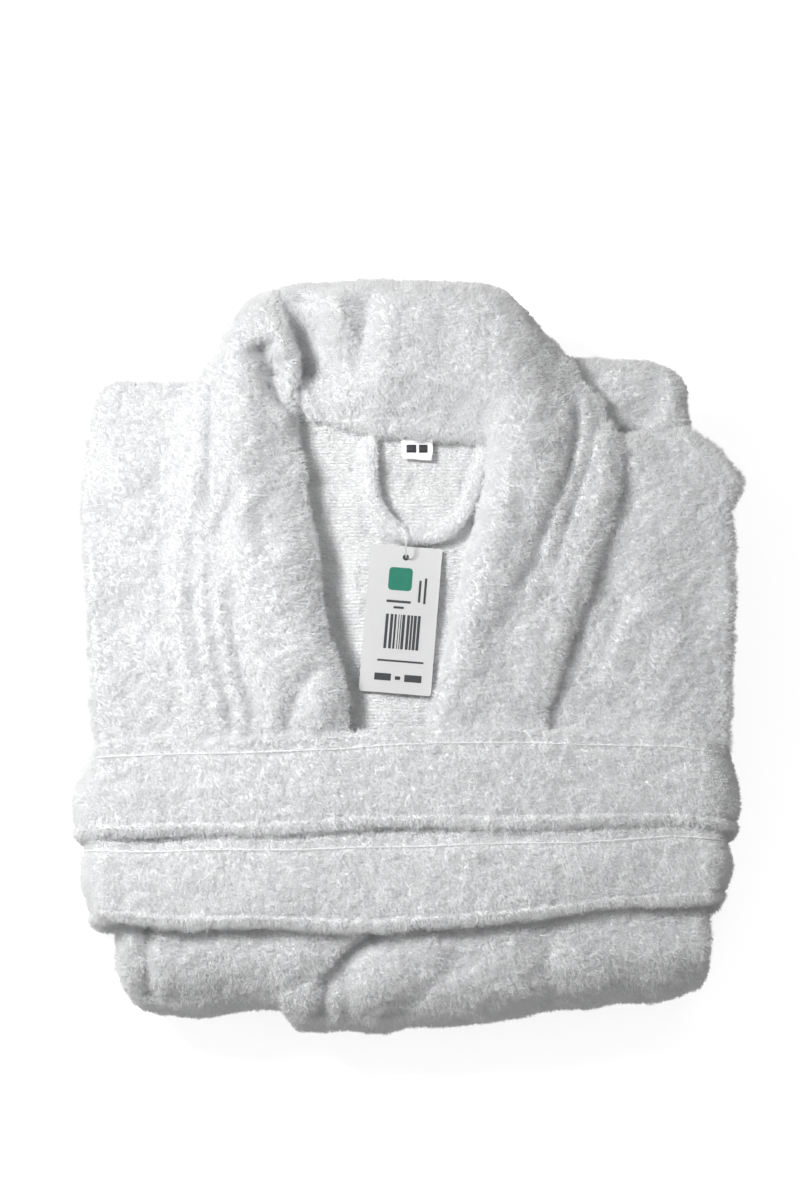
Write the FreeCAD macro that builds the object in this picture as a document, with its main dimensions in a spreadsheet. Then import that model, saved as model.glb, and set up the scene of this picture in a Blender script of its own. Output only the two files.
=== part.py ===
import FreeCAD, Part
import Sketcher, PartDesign
import math
import os

# A bathrobe folded into a flat stack, lying on its back with the belt wound round it.
# +X runs across it to the wearer's left, +Y to the collar, +Z up; Z = 0 is the table.
# The fronts wind round the back panel, and sleeves, pockets and labels lie in the layers.

V = FreeCAD.Vector
doc = FreeCAD.newDocument("FoldedBathrobe")

# ---------------------------------------------------------------- sizes
# "pad" is a thickness, "lift" the height of a piece's underside above the table.
SIZES = {
    # the stack: its width, and the Y of its folds at the -Y and +Y ends
    "body_width": 351.0, "fold_front": -207.0, "fold_rear": 152.0,
    "cloth_pad": 9.0, "cloth_thin": 4.0, "layer_gap": 0.7,
    # undersides of the layers of the fronts and of the back panel
    "front_under": 6.3, "front_upper": 65.0, "front_third": 31.0,
    "back_under": 16.0, "back_upper": 55.0, "back_third": 26.0,
    "back_width": 344.0,
    # overlap of the fronts in X, and the depth in the cloth where it is shared
    "lap_from": -118.0, "lap_until": -19.0, "lap_split": 4.7,
    "fold_round": 28.0, "neck_seam": 124.5,
    # sleeves and cuffs
    "sleeve_lift_right": 36.0, "sleeve_lift_left": 45.3, "sleeve_pad": 8.5,
    "sleeve_slit": 1.0, "cuff_long": 52.0, "cuff_gap": 0.4,
    # pockets
    "pocket_wide": 138.0, "pocket_tall": 160.0, "pocket_pad": 5.8,
    "pocket_inset": 12.0, "pocket_low": -30.0, "pocket_rim": 9.0, "pocket_hollow": 1.0,
    # belt: each edge is the +Y edge of a turn
    "belt_pad": 6.0, "belt_half": 182.3, "belt_top": 81.5,
    "belt_upper_edge": -42.0, "belt_upper_wide": 53.0,
    "belt_lower_edge": -99.0, "belt_lower_wide": 47.0, "belt_stub": 160.0,
    # lapels and collar
    "lapel_pad": 8.0, "roll_radius": 5.0, "roll_height": 80.3,
    "collar_half_left": 101.0, "collar_half_right": 84.0,
    # neck tape, hanger loop, labels
    "tape_pad": 1.4, "tape_wide": 9.0, "tape_long": 96.0, "tape_lift": 64.3,
    "loop_pad": 4.5, "loop_lift": 68.0,
    "label_pad": 0.5, "label_wide": 18.0, "label_tall": 11.4, "label_lift": 64.4,
    "care_wide": 30.0, "care_tall": 50.0, "care_pad": 0.5, "care_lift": 25.25,
    # hang tag and its fastener
    "tag_wide": 40.0, "tag_tall": 83.0, "tag_pad": 0.6, "tag_lift": 67.9,
    "tag_hole": 1.8, "tag_hole_inset": 6.2, "tag_turn": -4.7, "tag_hole_place": 58.3,
    "wire_radius": 0.45, "ring_radius": 5.25, "ring_reach": 6.85,
    "ring_place": 70.0, "ring_height": 70.25,
    # belt loops
    "keeper_wide": 10.0, "keeper_long": 62.0, "keeper_pad": 3.6,
    "keeper_lift": 2.5, "keeper_foot": 9.0, "keeper_air": 1.6,
    "keeper_side": 167.5, "keeper_low": -28.0,
}
sheet = doc.addObject("Spreadsheet::Sheet", "Sizes")
for row, (alias, value) in enumerate(SIZES.items(), start=1):
    sheet.set("A%d" % row, alias.replace("_", " "))
    sheet.set("B%d" % row, repr(value))
    sheet.setAlias("B%d" % row, alias)
doc.recompute()


def size(alias):
    return float(sheet.get(alias))


# ---------------------------------------------------------------- shared places
HALF_WIDTH = size("body_width") / 2.0
CLOTH = size("cloth_pad")
UPPER_TOP = size("front_upper") + CLOTH
FRONT_END = 156.0          # Y where the upper layer of a front ends
LAP_CLEAR = 0.4            # air between the fronts where they overlap

STACK_CUT = 90.0           # height above the stack; a cut this deep reaches the table
UPPER_CUT_LIFT = UPPER_TOP + 1.0
UPPER_CUT_DEPTH = CLOTH + 1.5    # just through the upper layer of a front

CUFF_LINE = -118.0         # Y where the sleeves end
LEFT_MOUTH = (-12.0, 158.0)      # X range of each sleeve at that line
RIGHT_MOUTH = (-158.0, 12.0)

# Roll lines of the lapels in plan: +Y end (top), then -Y end (bottom).
ROLL_RIGHT = ((-67.8, 183.3), (-33.4, -40.0))
ROLL_LEFT = ((66.1, 177.8), (16.9, -39.0))


def roll_x(roll, y):
    """X of a roll line at the given Y."""
    (top_x, top_y), (bottom_x, bottom_y) = roll
    return top_x + (bottom_x - top_x) * (y - top_y) / (bottom_y - top_y)


def roll_down(roll):
    """Unit vector down a roll line."""
    (top_x, top_y), (bottom_x, bottom_y) = roll
    down = V(bottom_x - top_x, bottom_y - top_y, 0)
    down.normalize()
    return down


def off_roll(roll, start, distance):
    """The start point moved square to the roll line, away from the neck opening."""
    down = roll_down(roll)
    shift = math.copysign(1.0, roll[0][0]) * distance
    return (start[0] - down.y * shift, start[1] + down.x * shift)


# ---------------------------------------------------------------- modelling helpers
# A dimension given to a helper is a number, or an alias to which it is then bound.
# Lifts on XZ_Plane count towards -Y, and pads from it run towards -Y.
def amount(dimension):
    return size(dimension) if isinstance(dimension, str) else dimension


def bind(target, path, dimension):
    if isinstance(dimension, str):
        target.setExpression(path, "Sizes." + dimension)


def make_body(label, place=(0, 0, 0), turn=0.0, **bound):
    """A body turned about Z; each axis named in bound follows an alias."""
    body = doc.addObject("PartDesign::Body", label)
    body.Label = label
    body.Placement = FreeCAD.Placement(V(*place), FreeCAD.Rotation(V(0, 0, 1), turn))
    for axis, alias in bound.items():
        bind(body, "Placement.Base." + axis, alias)
    return body


def sketch_on(body, role, name, lift=0.0):
    plane = [f for f in body.Origin.OriginFeatures if f.Role == role][0]
    sketch = body.newObject("Sketcher::SketchObject", name)
    sketch.AttachmentSupport = [(plane, "")]
    sketch.MapMode = "FlatFace"
    sketch.AttachmentOffset = FreeCAD.Placement(V(0, 0, amount(lift)), FreeCAD.Rotation())
    bind(sketch, "AttachmentOffset.Base.z", lift)
    return sketch


def round_corner(before, corner, after, radius):
    """Start, end and arc of a corner; a sharp one has no arc."""
    if radius <= 0:
        return corner, corner, None
    to_before = before - corner
    to_after = after - corner
    to_before.normalize()
    to_after.normalize()
    half_angle = math.acos(max(-1.0, min(1.0, to_before.dot(to_after)))) / 2.0
    reach = radius / math.tan(half_angle)
    inward = to_before + to_after
    inward.normalize()
    centre = corner + inward * (radius / math.sin(half_angle))
    start = corner + to_before * reach
    end = corner + to_after * reach
    return start, end, Part.Arc(start, centre - inward * radius, end)


def outline(sketch, corners):
    """A closed outline; each corner is (across, up) or (across, up, rounding radius)."""
    points = [V(corner[0], corner[1], 0) for corner in corners]
    count = len(points)
    rounded = []
    for i, corner in enumerate(corners):
        radius = corner[2] if len(corner) > 2 else 0.0
        rounded.append(round_corner(points[i - 1], points[i], points[(i + 1) % count], radius))
    for i, (_, end, arc) in enumerate(rounded):
        if arc is not None:
            sketch.addGeometry(arc, False)
        following = rounded[(i + 1) % count][0]
        if (following - end).Length > 1e-6:
            sketch.addGeometry(Part.LineSegment(end, following), False)


def outlined(body, role, name, corners, lift=0.0):
    """A new sketch holding one outline."""
    sketch = sketch_on(body, role, name, lift)
    outline(sketch, corners)
    return sketch


def rectangle(sketch, x, y, wide, tall):
    """A constrained rectangle from its lowest corner."""
    x_end, y_end = x + amount(wide), y + amount(tall)
    corners = [V(x, y, 0), V(x_end, y, 0), V(x_end, y_end, 0), V(x, y_end, 0)]
    first = sketch.GeometryCount

    def constrain(*terms):
        return sketch.addConstraint(Sketcher.Constraint(*terms))

    for i in range(4):
        sketch.addGeometry(Part.LineSegment(corners[i], corners[(i + 1) % 4]), False)
    for i in range(4):
        constrain("Coincident", first + i, 2, first + (i + 1) % 4, 1)
    for i in (0, 2):
        constrain("Horizontal", first + i)
        constrain("Vertical", first + i + 1)
    constrain("DistanceX", -1, 1, first, 1, x)
    constrain("DistanceY", -1, 1, first, 1, y)
    across = constrain("DistanceX", first, 1, first, 2, x_end - x)
    along = constrain("DistanceY", first + 1, 1, first + 1, 2, y_end - y)
    bind(sketch, "Constraints[%d]" % across, wide)
    bind(sketch, "Constraints[%d]" % along, tall)


def circle(sketch, x, y, radius):
    """The sketch's only geometry: a circle with its radius bound to an alias."""
    sketch.addGeometry(Part.Circle(V(x, y, 0), V(0, 0, 1), size(radius)), False)
    index = sketch.addConstraint(Sketcher.Constraint("Radius", 0, size(radius)))
    bind(sketch, "Constraints[%d]" % index, radius)


def extrude(kind, body, sketch, name, length):
    feature = body.newObject("PartDesign::" + kind, name)
    feature.Profile = sketch
    feature.Length = amount(length)
    bind(feature, "Length", length)


def pad(body, sketch, name, length):
    extrude("Pad", body, sketch, name, length)


def pocket(body, sketch, name, length):
    extrude("Pocket", body, sketch, name, length)


def cut_plan(body, plan_name, name, corners, lift=STACK_CUT, depth=STACK_CUT):
    """Cut a plan outline downwards from a height."""
    pocket(body, outlined(body, "XY_Plane", plan_name, corners, lift), name, depth)


# ---------------------------------------------------------------- fronts
def front_profile(outer, inner):
    """Wound (Y, Z) section of a front, between two depths in its cloth: upper layer,
    -Y fold, under layer, +Y fold, then a thinner layer tucked back inside."""
    near, far = size("fold_front"), size("fold_rear")
    low, top = size("front_under"), UPPER_TOP
    tuck_end = -170.0
    tuck_top = size("front_third") + size("cloth_thin")
    thinning = size("cloth_thin") / CLOTH
    tuck_outer = tuck_top - outer * thinning
    tuck_inner = tuck_top - inner * thinning
    fold = size("fold_round")
    return [
        (FRONT_END, top - outer),
        (near + outer, top - outer, fold - outer),
        (near + outer, low + outer, fold - outer),
        (far - outer, low + outer, 11.0 - outer),
        (far - outer, tuck_outer, 3.0),
        (tuck_end, tuck_outer),
        (tuck_end, tuck_inner),
        (far - inner, tuck_inner),
        (far - inner, low + inner),
        (near + inner, low + inner, fold - inner),
        (near + inner, top - inner, fold - inner),
        (FRONT_END, top - inner),
    ]


def front_panel(label, solid, lap, lap_depths):
    """A front at full thickness over the X range solid, part of it over the range lap."""
    body = make_body(label)
    section = outlined(body, "YZ_Plane", label + "_section", front_profile(0.0, CLOTH), solid[0])
    pad(body, section, label + "_wound", solid[1] - solid[0])
    section = outlined(body, "YZ_Plane", label + "_lap_section",
                       front_profile(*lap_depths), lap[0])
    pad(body, section, label + "_lap", lap[1] - lap[0])
    return body


def make_right_front():
    """The wearer's right front: on top in the lap."""
    lap_from, lap_until = size("lap_from"), size("lap_until")
    body = front_panel("right_front", solid=(-HALF_WIDTH, lap_from), lap=(lap_from, lap_until),
                       lap_depths=(0.0, size("lap_split") - LAP_CLEAR))

    # full thickness again above the belt, up to the roll line
    chest_x, chest_y = lap_from - 5.0, -55.0
    chest = sketch_on(body, "XY_Plane", "right_chest_outline", size("front_upper"))
    rectangle(chest, chest_x, chest_y, lap_until - chest_x, FRONT_END - chest_y)
    pad(body, chest, "right_chest", "cloth_pad")

    cut_plan(body, "right_neck_outline", "right_neck", [
        (roll_x(ROLL_RIGHT, 170.0), 170.0),
        (roll_x(ROLL_RIGHT, -60.0), -60.0, 12.0),
        (-19.2, -100.0), (-10.0, -100.0), (-10.0, 170.0),
    ], UPPER_CUT_LIFT, UPPER_CUT_DEPTH)
    # the open edge curves away to -X near the -Y fold
    cut_plan(body, "right_front_edge", "right_front_edge_cut", [
        (-18.5, -148.0), (-34.0, -156.0, 20.0), (-55.0, -180.0, 14.0), (-58.0, -215.0),
        (-10.0, -215.0), (-10.0, -148.0),
    ], depth=58.0)
    cut_plan(body, "right_shoulder_outline", "right_shoulder", [
        (-172.5, 138.0), (-169.0, 151.5, 6.0), (-118.0, 154.8, 20.0), (-105.0, 158.0),
        (-105.0, 170.0), (-185.0, 170.0), (-185.0, 100.0),
    ])


def make_left_front():
    """The wearer's left front: underneath in the lap."""
    lap_end = size("lap_until") + LAP_CLEAR
    body = front_panel("left_front", solid=(lap_end, HALF_WIDTH),
                       lap=(size("lap_from") + 0.6, lap_end),
                       lap_depths=(size("lap_split"), CLOTH))
    cut_plan(body, "left_neck_outline", "left_neck", [
        (roll_x(ROLL_LEFT, 170.0), 170.0), (roll_x(ROLL_LEFT, -45.0), -45.0),
        (-24.0, -57.0), (-125.0, -57.0), (-125.0, 170.0),
    ], UPPER_CUT_LIFT, UPPER_CUT_DEPTH)
    cut_plan(body, "left_top_outline", "left_top", [
        (105.0, 145.0, 8.0), (116.0, 125.0, 8.0), (157.0, 128.0), (185.0, 128.0),
        (185.0, 170.0), (105.0, 170.0),
    ], UPPER_CUT_LIFT, UPPER_CUT_DEPTH)
    cut_plan(body, "left_shoulder_outline", "left_shoulder", [
        (155.0, 170.0), (156.0, 128.0, 6.0), (169.0, 119.0, 6.0), (176.5, 104.0),
        (190.0, 104.0), (190.0, 170.0),
    ])


# ---------------------------------------------------------------- back panel
def make_back():
    """The back, wound inside the fronts."""
    body = make_body("back_panel")
    near = size("fold_front") + CLOTH + size("layer_gap")
    far = size("fold_rear") - CLOTH - size("layer_gap")
    low, upper, third = size("back_under"), size("back_upper"), size("back_third")
    top, third_top = upper + CLOTH, third + size("cloth_thin")
    open_end, tuck_end = 150.0, -160.0
    far_inner = far - 8.0
    section = outlined(body, "YZ_Plane", "back_section", [
        (open_end, top), (near, top, 18.0), (near, low, 18.0), (far, low, 6.0),
        (far, third_top, 2.0), (tuck_end, third_top), (tuck_end, third), (far_inner, third),
        (far_inner, low + CLOTH), (near + CLOTH, low + CLOTH, 9.0),
        (near + CLOTH, upper, 9.0), (open_end, upper),
    ], -size("back_width") / 2.0)
    pad(body, section, "back_wound", "back_width")
    cut_plan(body, "back_shoulder_outline", "back_shoulder", [
        (150.0, 170.0), (152.0, 126.0, 6.0), (166.0, 114.0, 6.0), (174.0, 100.0),
        (190.0, 100.0), (190.0, 170.0),
    ])


# ---------------------------------------------------------------- sleeves and cuffs
# Plan of each sleeve beyond its mouth, from the +X end of the mouth round to the -X end.
LEFT_SLEEVE_PLAN = [
    (160.0, 60.0, 20.0), (154.5, 110.0, 12.0), (153.5, 130.0, 4.0), (155.5, 150.0, 8.0),
    (140.0, 161.0, 10.0), (118.0, 164.5, 14.0), (92.0, 164.0, 12.0), (60.0, 140.0, 14.0),
    (-8.0, 100.0, 20.0),
]
RIGHT_SLEEVE_PLAN = [
    (8.0, 100.0, 20.0), (-60.0, 138.0, 14.0), (-140.0, 146.0, 12.0), (-160.0, 138.0, 12.0),
]


def draw_slit(sketch, mouth, inset):
    """A slit at mid-thickness, inset from both ends of the mouth."""
    low = (size("sleeve_pad") - size("sleeve_slit")) / 2.0
    rectangle(sketch, mouth[0] + inset, low, mouth[1] - mouth[0] - 2.0 * inset, "sleeve_slit")


def make_sleeve(label, mouth, far_plan, lift):
    """A flattened sleeve, hollowed from its mouth by a thin slit."""
    body = make_body(label, z=lift)
    corners = [(mouth[0], CUFF_LINE), (mouth[1], CUFF_LINE)] + far_plan
    pad(body, outlined(body, "XY_Plane", label + "_plan", corners), label + "_tube",
        "sleeve_pad")
    slit = sketch_on(body, "XZ_Plane", label + "_mouth", -CUFF_LINE)
    draw_slit(slit, mouth, inset=12.0)
    pocket(body, slit, label + "_hollow", 190.0)


def make_cuff(label, mouth, lift):
    """A flattened ring that continues the sleeve to -Y."""
    body = make_body(label, z=lift)
    start, end = mouth
    high = size("sleeve_pad")
    edge = 3.0
    ring = outlined(body, "XZ_Plane", label + "_ring", [
        (start, 0.0, edge), (end, 0.0, edge), (end, high, edge), (start, high, edge),
    ], size("cuff_gap") - CUFF_LINE)
    draw_slit(ring, mouth, inset=9.0)
    pad(body, ring, label + "_band", "cuff_long")


# ---------------------------------------------------------------- pockets
def is_pocket_corner(edge):
    """An upright edge through the patch's full thickness, at its +Y end."""
    start, end = edge.Vertexes[0], edge.Vertexes[-1]
    upright = abs(start.X - end.X) < 1e-6 and abs(start.Y - end.Y) < 1e-6
    return upright and start.Y > 100.0 and 4.0 < edge.Length < 5.9


def make_patch(label, x):
    """A patch under a front, its upper face hollowed and open to -Y."""
    body = make_body(label)
    low, rim = size("pocket_low"), size("pocket_rim")
    plan = sketch_on(body, "XY_Plane", label + "_plan")
    rectangle(plan, x, low, "pocket_wide", "pocket_tall")
    pad(body, plan, label + "_patch", "pocket_pad")
    hollow = sketch_on(body, "XY_Plane", label + "_hollow_plan", "pocket_pad")
    overrun = 1.0
    rectangle(hollow, x + rim, low - overrun, size("pocket_wide") - 2.0 * rim,
              size("pocket_tall") - rim + overrun)
    pocket(body, hollow, label + "_hollow", "pocket_hollow")

    doc.recompute()    # the edges exist only after this
    tip = body.Tip
    names = ["Edge%d" % i for i, edge in enumerate(tip.Shape.Edges, start=1)
             if is_pocket_corner(edge)]
    fillet = body.newObject("PartDesign::Fillet", label + "_corners")
    fillet.Base = (tip, names)
    fillet.Radius = 8.0


# ---------------------------------------------------------------- belt loops
def make_keeper(label, x):
    """A strap under a front, its top lowered between the two feet."""
    body = make_body(label, z="keeper_lift")
    low, foot, high = size("keeper_low"), size("keeper_foot"), size("keeper_pad")
    end = low + size("keeper_long")
    recess = high - size("keeper_air")
    slope = 3.0
    arch = outlined(body, "YZ_Plane", label + "_arch", [
        (low, high), (low, 1.0, 1.0), (low + foot, 0.0, 2.0),
        (end - foot, 0.0, 2.0), (end, 1.0, 1.0), (end, high),
        (end - foot, high), (end - foot - slope, recess),
        (low + foot + slope, recess), (low + foot, high),
    ], x - size("keeper_wide") / 2.0)
    pad(body, arch, label + "_strap", "keeper_wide")


# ---------------------------------------------------------------- belt
def belt_turn(body, name, side):
    """One turn over the top and down both sides. Its free end lies under the stack
    on the given side: +1 for +X, -1 for -X."""
    half, thick, crown = size("belt_half"), size("belt_pad"), size("belt_top")
    stub, inner = size("belt_stub"), half - thick
    section = outlined(body, "XZ_Plane", "belt_%s_turn" % name, [
        (stub * side, 0.0), (half * side, 0.0, 6.0), (half * side, crown, 9.0),
        (-half * side, crown, 9.0), (-half * side, 0.0, 5.0), (-inner * side, 0.0),
        (-inner * side, crown - thick, 1.5), (inner * side, crown - thick, 1.5),
        (inner * side, thick, 1.5), (stub * side, thick),
    ], -size("belt_%s_edge" % name))
    pad(body, section, "belt_%s_band" % name, "belt_%s_wide" % name)


def make_belt():
    """Two turns joined by a slanting run underneath."""
    body = make_body("belt")
    belt_turn(body, "upper", 1.0)
    run_end = size("belt_half") - size("belt_pad") + 0.3    # laps slightly into the turns
    upper, lower = size("belt_upper_edge"), size("belt_lower_edge")
    plan = outlined(body, "XY_Plane", "belt_under_plan", [
        (-run_end, upper), (-run_end, upper - size("belt_upper_wide")),
        (run_end, lower - size("belt_lower_wide")), (run_end, lower),
    ])
    pad(body, plan, "belt_under_run", "belt_pad")
    belt_turn(body, "lower", -1.0)


# ---------------------------------------------------------------- collar and lapels
def make_collar():
    """Back of the collar: a thick doubled band behind the neck, trimmed in plan."""
    body = make_body("collar_back")
    seam = size("neck_seam")
    section = outlined(body, "YZ_Plane", "collar_section", [
        (seam, 66.0), (seam, 73.0, 3.0), (134.0, 83.0, 8.0), (148.0, 93.0, 14.0),
        (168.0, 100.0, 18.0), (190.0, 98.5, 14.0), (203.0, 86.0, 12.0), (207.0, 64.0, 12.0),
        (204.0, 42.0, 10.0), (192.0, 31.0, 8.0), (176.0, 33.0, 8.0), (167.0, 46.0, 8.0),
        (165.0, 66.0, 4.0),
    ], -size("collar_half_left"))
    pad(body, section, "collar_band", size("collar_half_left") + size("collar_half_right"))

    clear = size("roll_radius") + 0.8
    neck_y = 126.0

    def beside_lapel(roll, reach):
        """Neck point, inner end and outer end of the collar against a lapel; the
        ends lie square to the roll line, just past its top."""
        gap = 1.0
        down = roll_down(roll)
        past_top = (roll[0][0] - down.x * gap, roll[0][1] - down.y * gap)
        neck = off_roll(roll, (roll_x(roll, neck_y), neck_y), -clear)
        return neck, off_roll(roll, past_top, -clear), off_roll(roll, past_top, reach) + (3.0,)

    right_neck, right_inner, right_outer = beside_lapel(ROLL_RIGHT, 36.0)
    left_neck, left_inner, left_outer = beside_lapel(ROLL_LEFT, 21.0)
    # everything between the frame and the collar's own outline is cut away
    frame = [(-150.0, 90.0), (150.0, 90.0), (150.0, 240.0), (-150.0, 240.0)]
    trim = outlined(body, "XY_Plane", "collar_outline", frame, 105.0)
    outline(trim, [
        right_inner, right_neck, (right_neck[0] + 4.0, seam - 2.0),
        (left_neck[0] - 3.0, seam - 2.0), left_neck, left_inner, left_outer,
        (70.0, 187.0, 10.0), (59.0, 200.0, 12.0), (50.0, 206.0, 14.0), (0.0, 210.0),
        (-60.0, 208.5, 20.0), (-78.0, 204.0, 14.0), (-90.0, 194.0, 12.0), right_outer,
    ])
    pocket(body, trim, "collar_shape", 90.0)


# Free edge of each lapel in plan, from the bottom of the roll line upwards.
RIGHT_LAPEL_EDGE = [
    (-40.0, -40.0), (-117.0, -40.0, 4.0), (-127.0, 0.0, 30.0), (-133.0, 20.0, 30.0),
    (-136.0, 70.0, 40.0), (-136.0, 116.0, 20.0), (-128.0, 133.0, 20.0),
    (-116.5, 155.0, 20.0), (-102.0, 171.5, 4.0),
]
LEFT_LAPEL_EDGE = [
    (26.0, -39.0), (76.0, -39.0, 4.0), (84.0, -10.0, 20.0), (93.0, 17.0, 30.0),
    (104.0, 49.0, 30.0), (113.5, 72.0, 30.0), (118.0, 94.0, 30.0), (120.0, 115.0, 20.0),
    (117.5, 125.0, 14.0), (104.5, 148.0, 20.0), (92.0, 164.0, 10.0),
]


def make_lapel(label, roll, edge, top_reach):
    """A flap off a round roll. The body stands at the bottom of the roll line with
    its Y up the line; top_reach is the flap's width square to the line at its top."""
    (top_x, top_y), (bottom_x, bottom_y) = roll
    angle = math.degrees(math.atan2(top_y - bottom_y, top_x - bottom_x)) - 90.0
    body = make_body(label, (bottom_x, bottom_y, size("roll_height")), angle, z="roll_height")
    length = math.hypot(top_x - bottom_x, top_y - bottom_y)
    roll_start = 2.0

    into_body = FreeCAD.Rotation(V(0, 0, 1), -angle)
    corners = [(0.0, roll_start)]
    for corner in edge + [off_roll(roll, roll[0], top_reach) + (3.0,)]:
        local = into_body.multVec(V(corner[0] - bottom_x, corner[1] - bottom_y, 0))
        corners.append((local.x, local.y) + corner[2:])
    corners.append((0.0, length))
    flap = outlined(body, "XY_Plane", label + "_flap_plan", corners, -size("roll_radius"))
    flap.setExpression("AttachmentOffset.Base.z", "-Sizes.roll_radius")
    pad(body, flap, label + "_flap", "lapel_pad")

    section = sketch_on(body, "XY_Plane", label + "_roll_section")
    rectangle(section, 0.0, roll_start, "roll_radius", length - roll_start)
    turned = body.newObject("PartDesign::Revolution", label + "_roll")
    turned.Profile = section
    turned.ReferenceAxis = (section, ["V_Axis"])
    turned.Angle = 360.0


# ---------------------------------------------------------------- hanger loop, tape, labels
def make_hanger_loop():
    """A U-shaped strap with its ends at the neck seam."""
    body = make_body("hanger_loop", z="loop_lift")
    plan = outlined(body, "XY_Plane", "loop_plan", [
        # outer edge
        (-23.9, 121.0), (-23.9, 94.0, 24.0), (-14.5, 73.0, 14.0), (-4.0, 66.0, 10.0),
        (16.0, 66.0, 12.0), (28.5, 71.5, 14.0), (38.0, 85.0, 20.0), (45.6, 112.0, 20.0),
        (46.1, 121.0),
        # inner edge
        (38.1, 121.0), (37.6, 113.0, 14.0), (30.6, 88.6, 14.0), (23.0, 78.2, 8.0),
        (14.2, 74.0, 6.0), (-1.6, 74.0, 5.0), (-8.2, 78.6, 8.0), (-15.9, 96.0, 16.0),
        (-15.9, 121.0),
    ])
    pad(body, plan, "loop_strap", "loop_pad")


def make_ribbon(label, stem, kind, x, y, wide, tall, place=(0, 0, 0)):
    """A flat rectangle of cloth; stem begins its aliases and feature names."""
    body = make_body(label, place, z=stem + "_lift")
    plan = sketch_on(body, "XY_Plane", stem + "_plan")
    rectangle(plan, x, y, wide, tall)
    pad(body, plan, stem + "_" + kind, stem + "_pad")


# ---------------------------------------------------------------- hang tag and fastener
def make_hang_tag():
    """A card turned about its eyelet, which is the body's origin."""
    body = make_body("hang_tag", (0.0, size("tag_hole_place"), 0.0), size("tag_turn"),
                     y="tag_hole_place", z="tag_lift")
    half, above = size("tag_wide") / 2.0, size("tag_hole_inset")
    below = size("tag_tall") - above
    plan = outlined(body, "XY_Plane", "tag_plan", [
        (-half, above, 1.5), (-half, -below, 1.5), (half, -below, 1.5), (half, above, 1.5),
    ])
    pad(body, plan, "tag_card", "tag_pad")
    hole = sketch_on(body, "XY_Plane", "tag_hole_plan", "tag_pad")
    circle(hole, 0, 0, "tag_hole")
    pocket(body, hole, "tag_eyelet", size("tag_pad") + 1.0)


def make_fastener():
    """An upright oblong ring of wire through the eyelet and round the hanger loop."""
    body = make_body("tag_fastener", (0.0, size("ring_place"), size("ring_height")),
                     y="ring_place", z="ring_height")
    radius, reach = size("ring_radius"), size("ring_reach")
    path = sketch_on(body, "YZ_Plane", "fastener_path")
    for segment in (
        Part.Arc(V(0, -radius, 0), V(radius, 0, 0), V(0, radius, 0)),
        Part.LineSegment(V(0, radius, 0), V(-reach, radius, 0)),
        Part.Arc(V(-reach, radius, 0), V(-reach - radius, 0, 0), V(-reach, -radius, 0)),
        Part.LineSegment(V(-reach, -radius, 0), V(0, -radius, 0)),
    ):
        path.addGeometry(segment, False)
    wire = sketch_on(body, "XZ_Plane", "fastener_section")
    circle(wire, 0, radius, "wire_radius")
    doc.recompute()    # the path needs its edges before the pipe refers to them
    pipe = body.newObject("PartDesign::AdditivePipe", "fastener_wire")
    pipe.Profile = wire
    pipe.Spine = (path, ["Edge1", "Edge2", "Edge3", "Edge4"])


# ---------------------------------------------------------------- build
make_right_front()
make_left_front()
make_back()
make_sleeve("left_sleeve", LEFT_MOUTH, LEFT_SLEEVE_PLAN, "sleeve_lift_left")
make_sleeve("right_sleeve", RIGHT_MOUTH, RIGHT_SLEEVE_PLAN, "sleeve_lift_right")
make_cuff("left_cuff", LEFT_MOUTH, "sleeve_lift_left")
make_cuff("right_cuff", RIGHT_MOUTH, "sleeve_lift_right")
make_patch("right_pocket", -size("pocket_inset") - size("pocket_wide"))
make_patch("left_pocket", size("pocket_inset"))
make_keeper("right_belt_loop", -size("keeper_side"))
make_keeper("left_belt_loop", size("keeper_side"))
make_belt()
make_collar()
make_lapel("right_lapel", ROLL_RIGHT, RIGHT_LAPEL_EDGE, top_reach=34.0)
make_lapel("left_lapel", ROLL_LEFT, LEFT_LAPEL_EDGE, top_reach=19.5)
make_ribbon("neck_tape", "tape", "strip", -size("tape_long") / 2.0, size("neck_seam"),
            "tape_long", "tape_wide")
make_hanger_loop()
make_ribbon("size_label", "label", "ribbon", -2.8, 121.8 - size("label_tall"),
            "label_wide", "label_tall")
make_ribbon("care_label", "care", "ribbon", 0.0, 0.0, "care_wide", "care_tall",
            place=(112.0, 60.0, 0))
make_hang_tag()
make_fastener()

# ---------------------------------------------------------------- check and write
doc.recompute()
for item in doc.Objects:
    if "Invalid" in item.State or "Error" in item.State:
        raise RuntimeError("feature %s: %s" % (item.Name, item.State))
bodies = [item for item in doc.Objects if item.TypeId == "PartDesign::Body"]
for body in bodies:
    shape = body.Shape
    if shape.isNull() or not shape.isValid() or len(shape.Solids) != 1:
        raise RuntimeError("body %s: %d solids" % (body.Label, len(shape.Solids)))
os.makedirs("parts", exist_ok=True)
for body in bodies:
    body.Shape.exportStep("parts/%s.step" % body.Label)
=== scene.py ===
"""A white terry bathrobe, folded and lying flat on a table with its belt wound twice
round it. +X is the wearer's left, +Y runs towards the collar and +Z up from the table.
Sizes are in mm until a mesh, light or camera is made, which are in metres."""

import math

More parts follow.
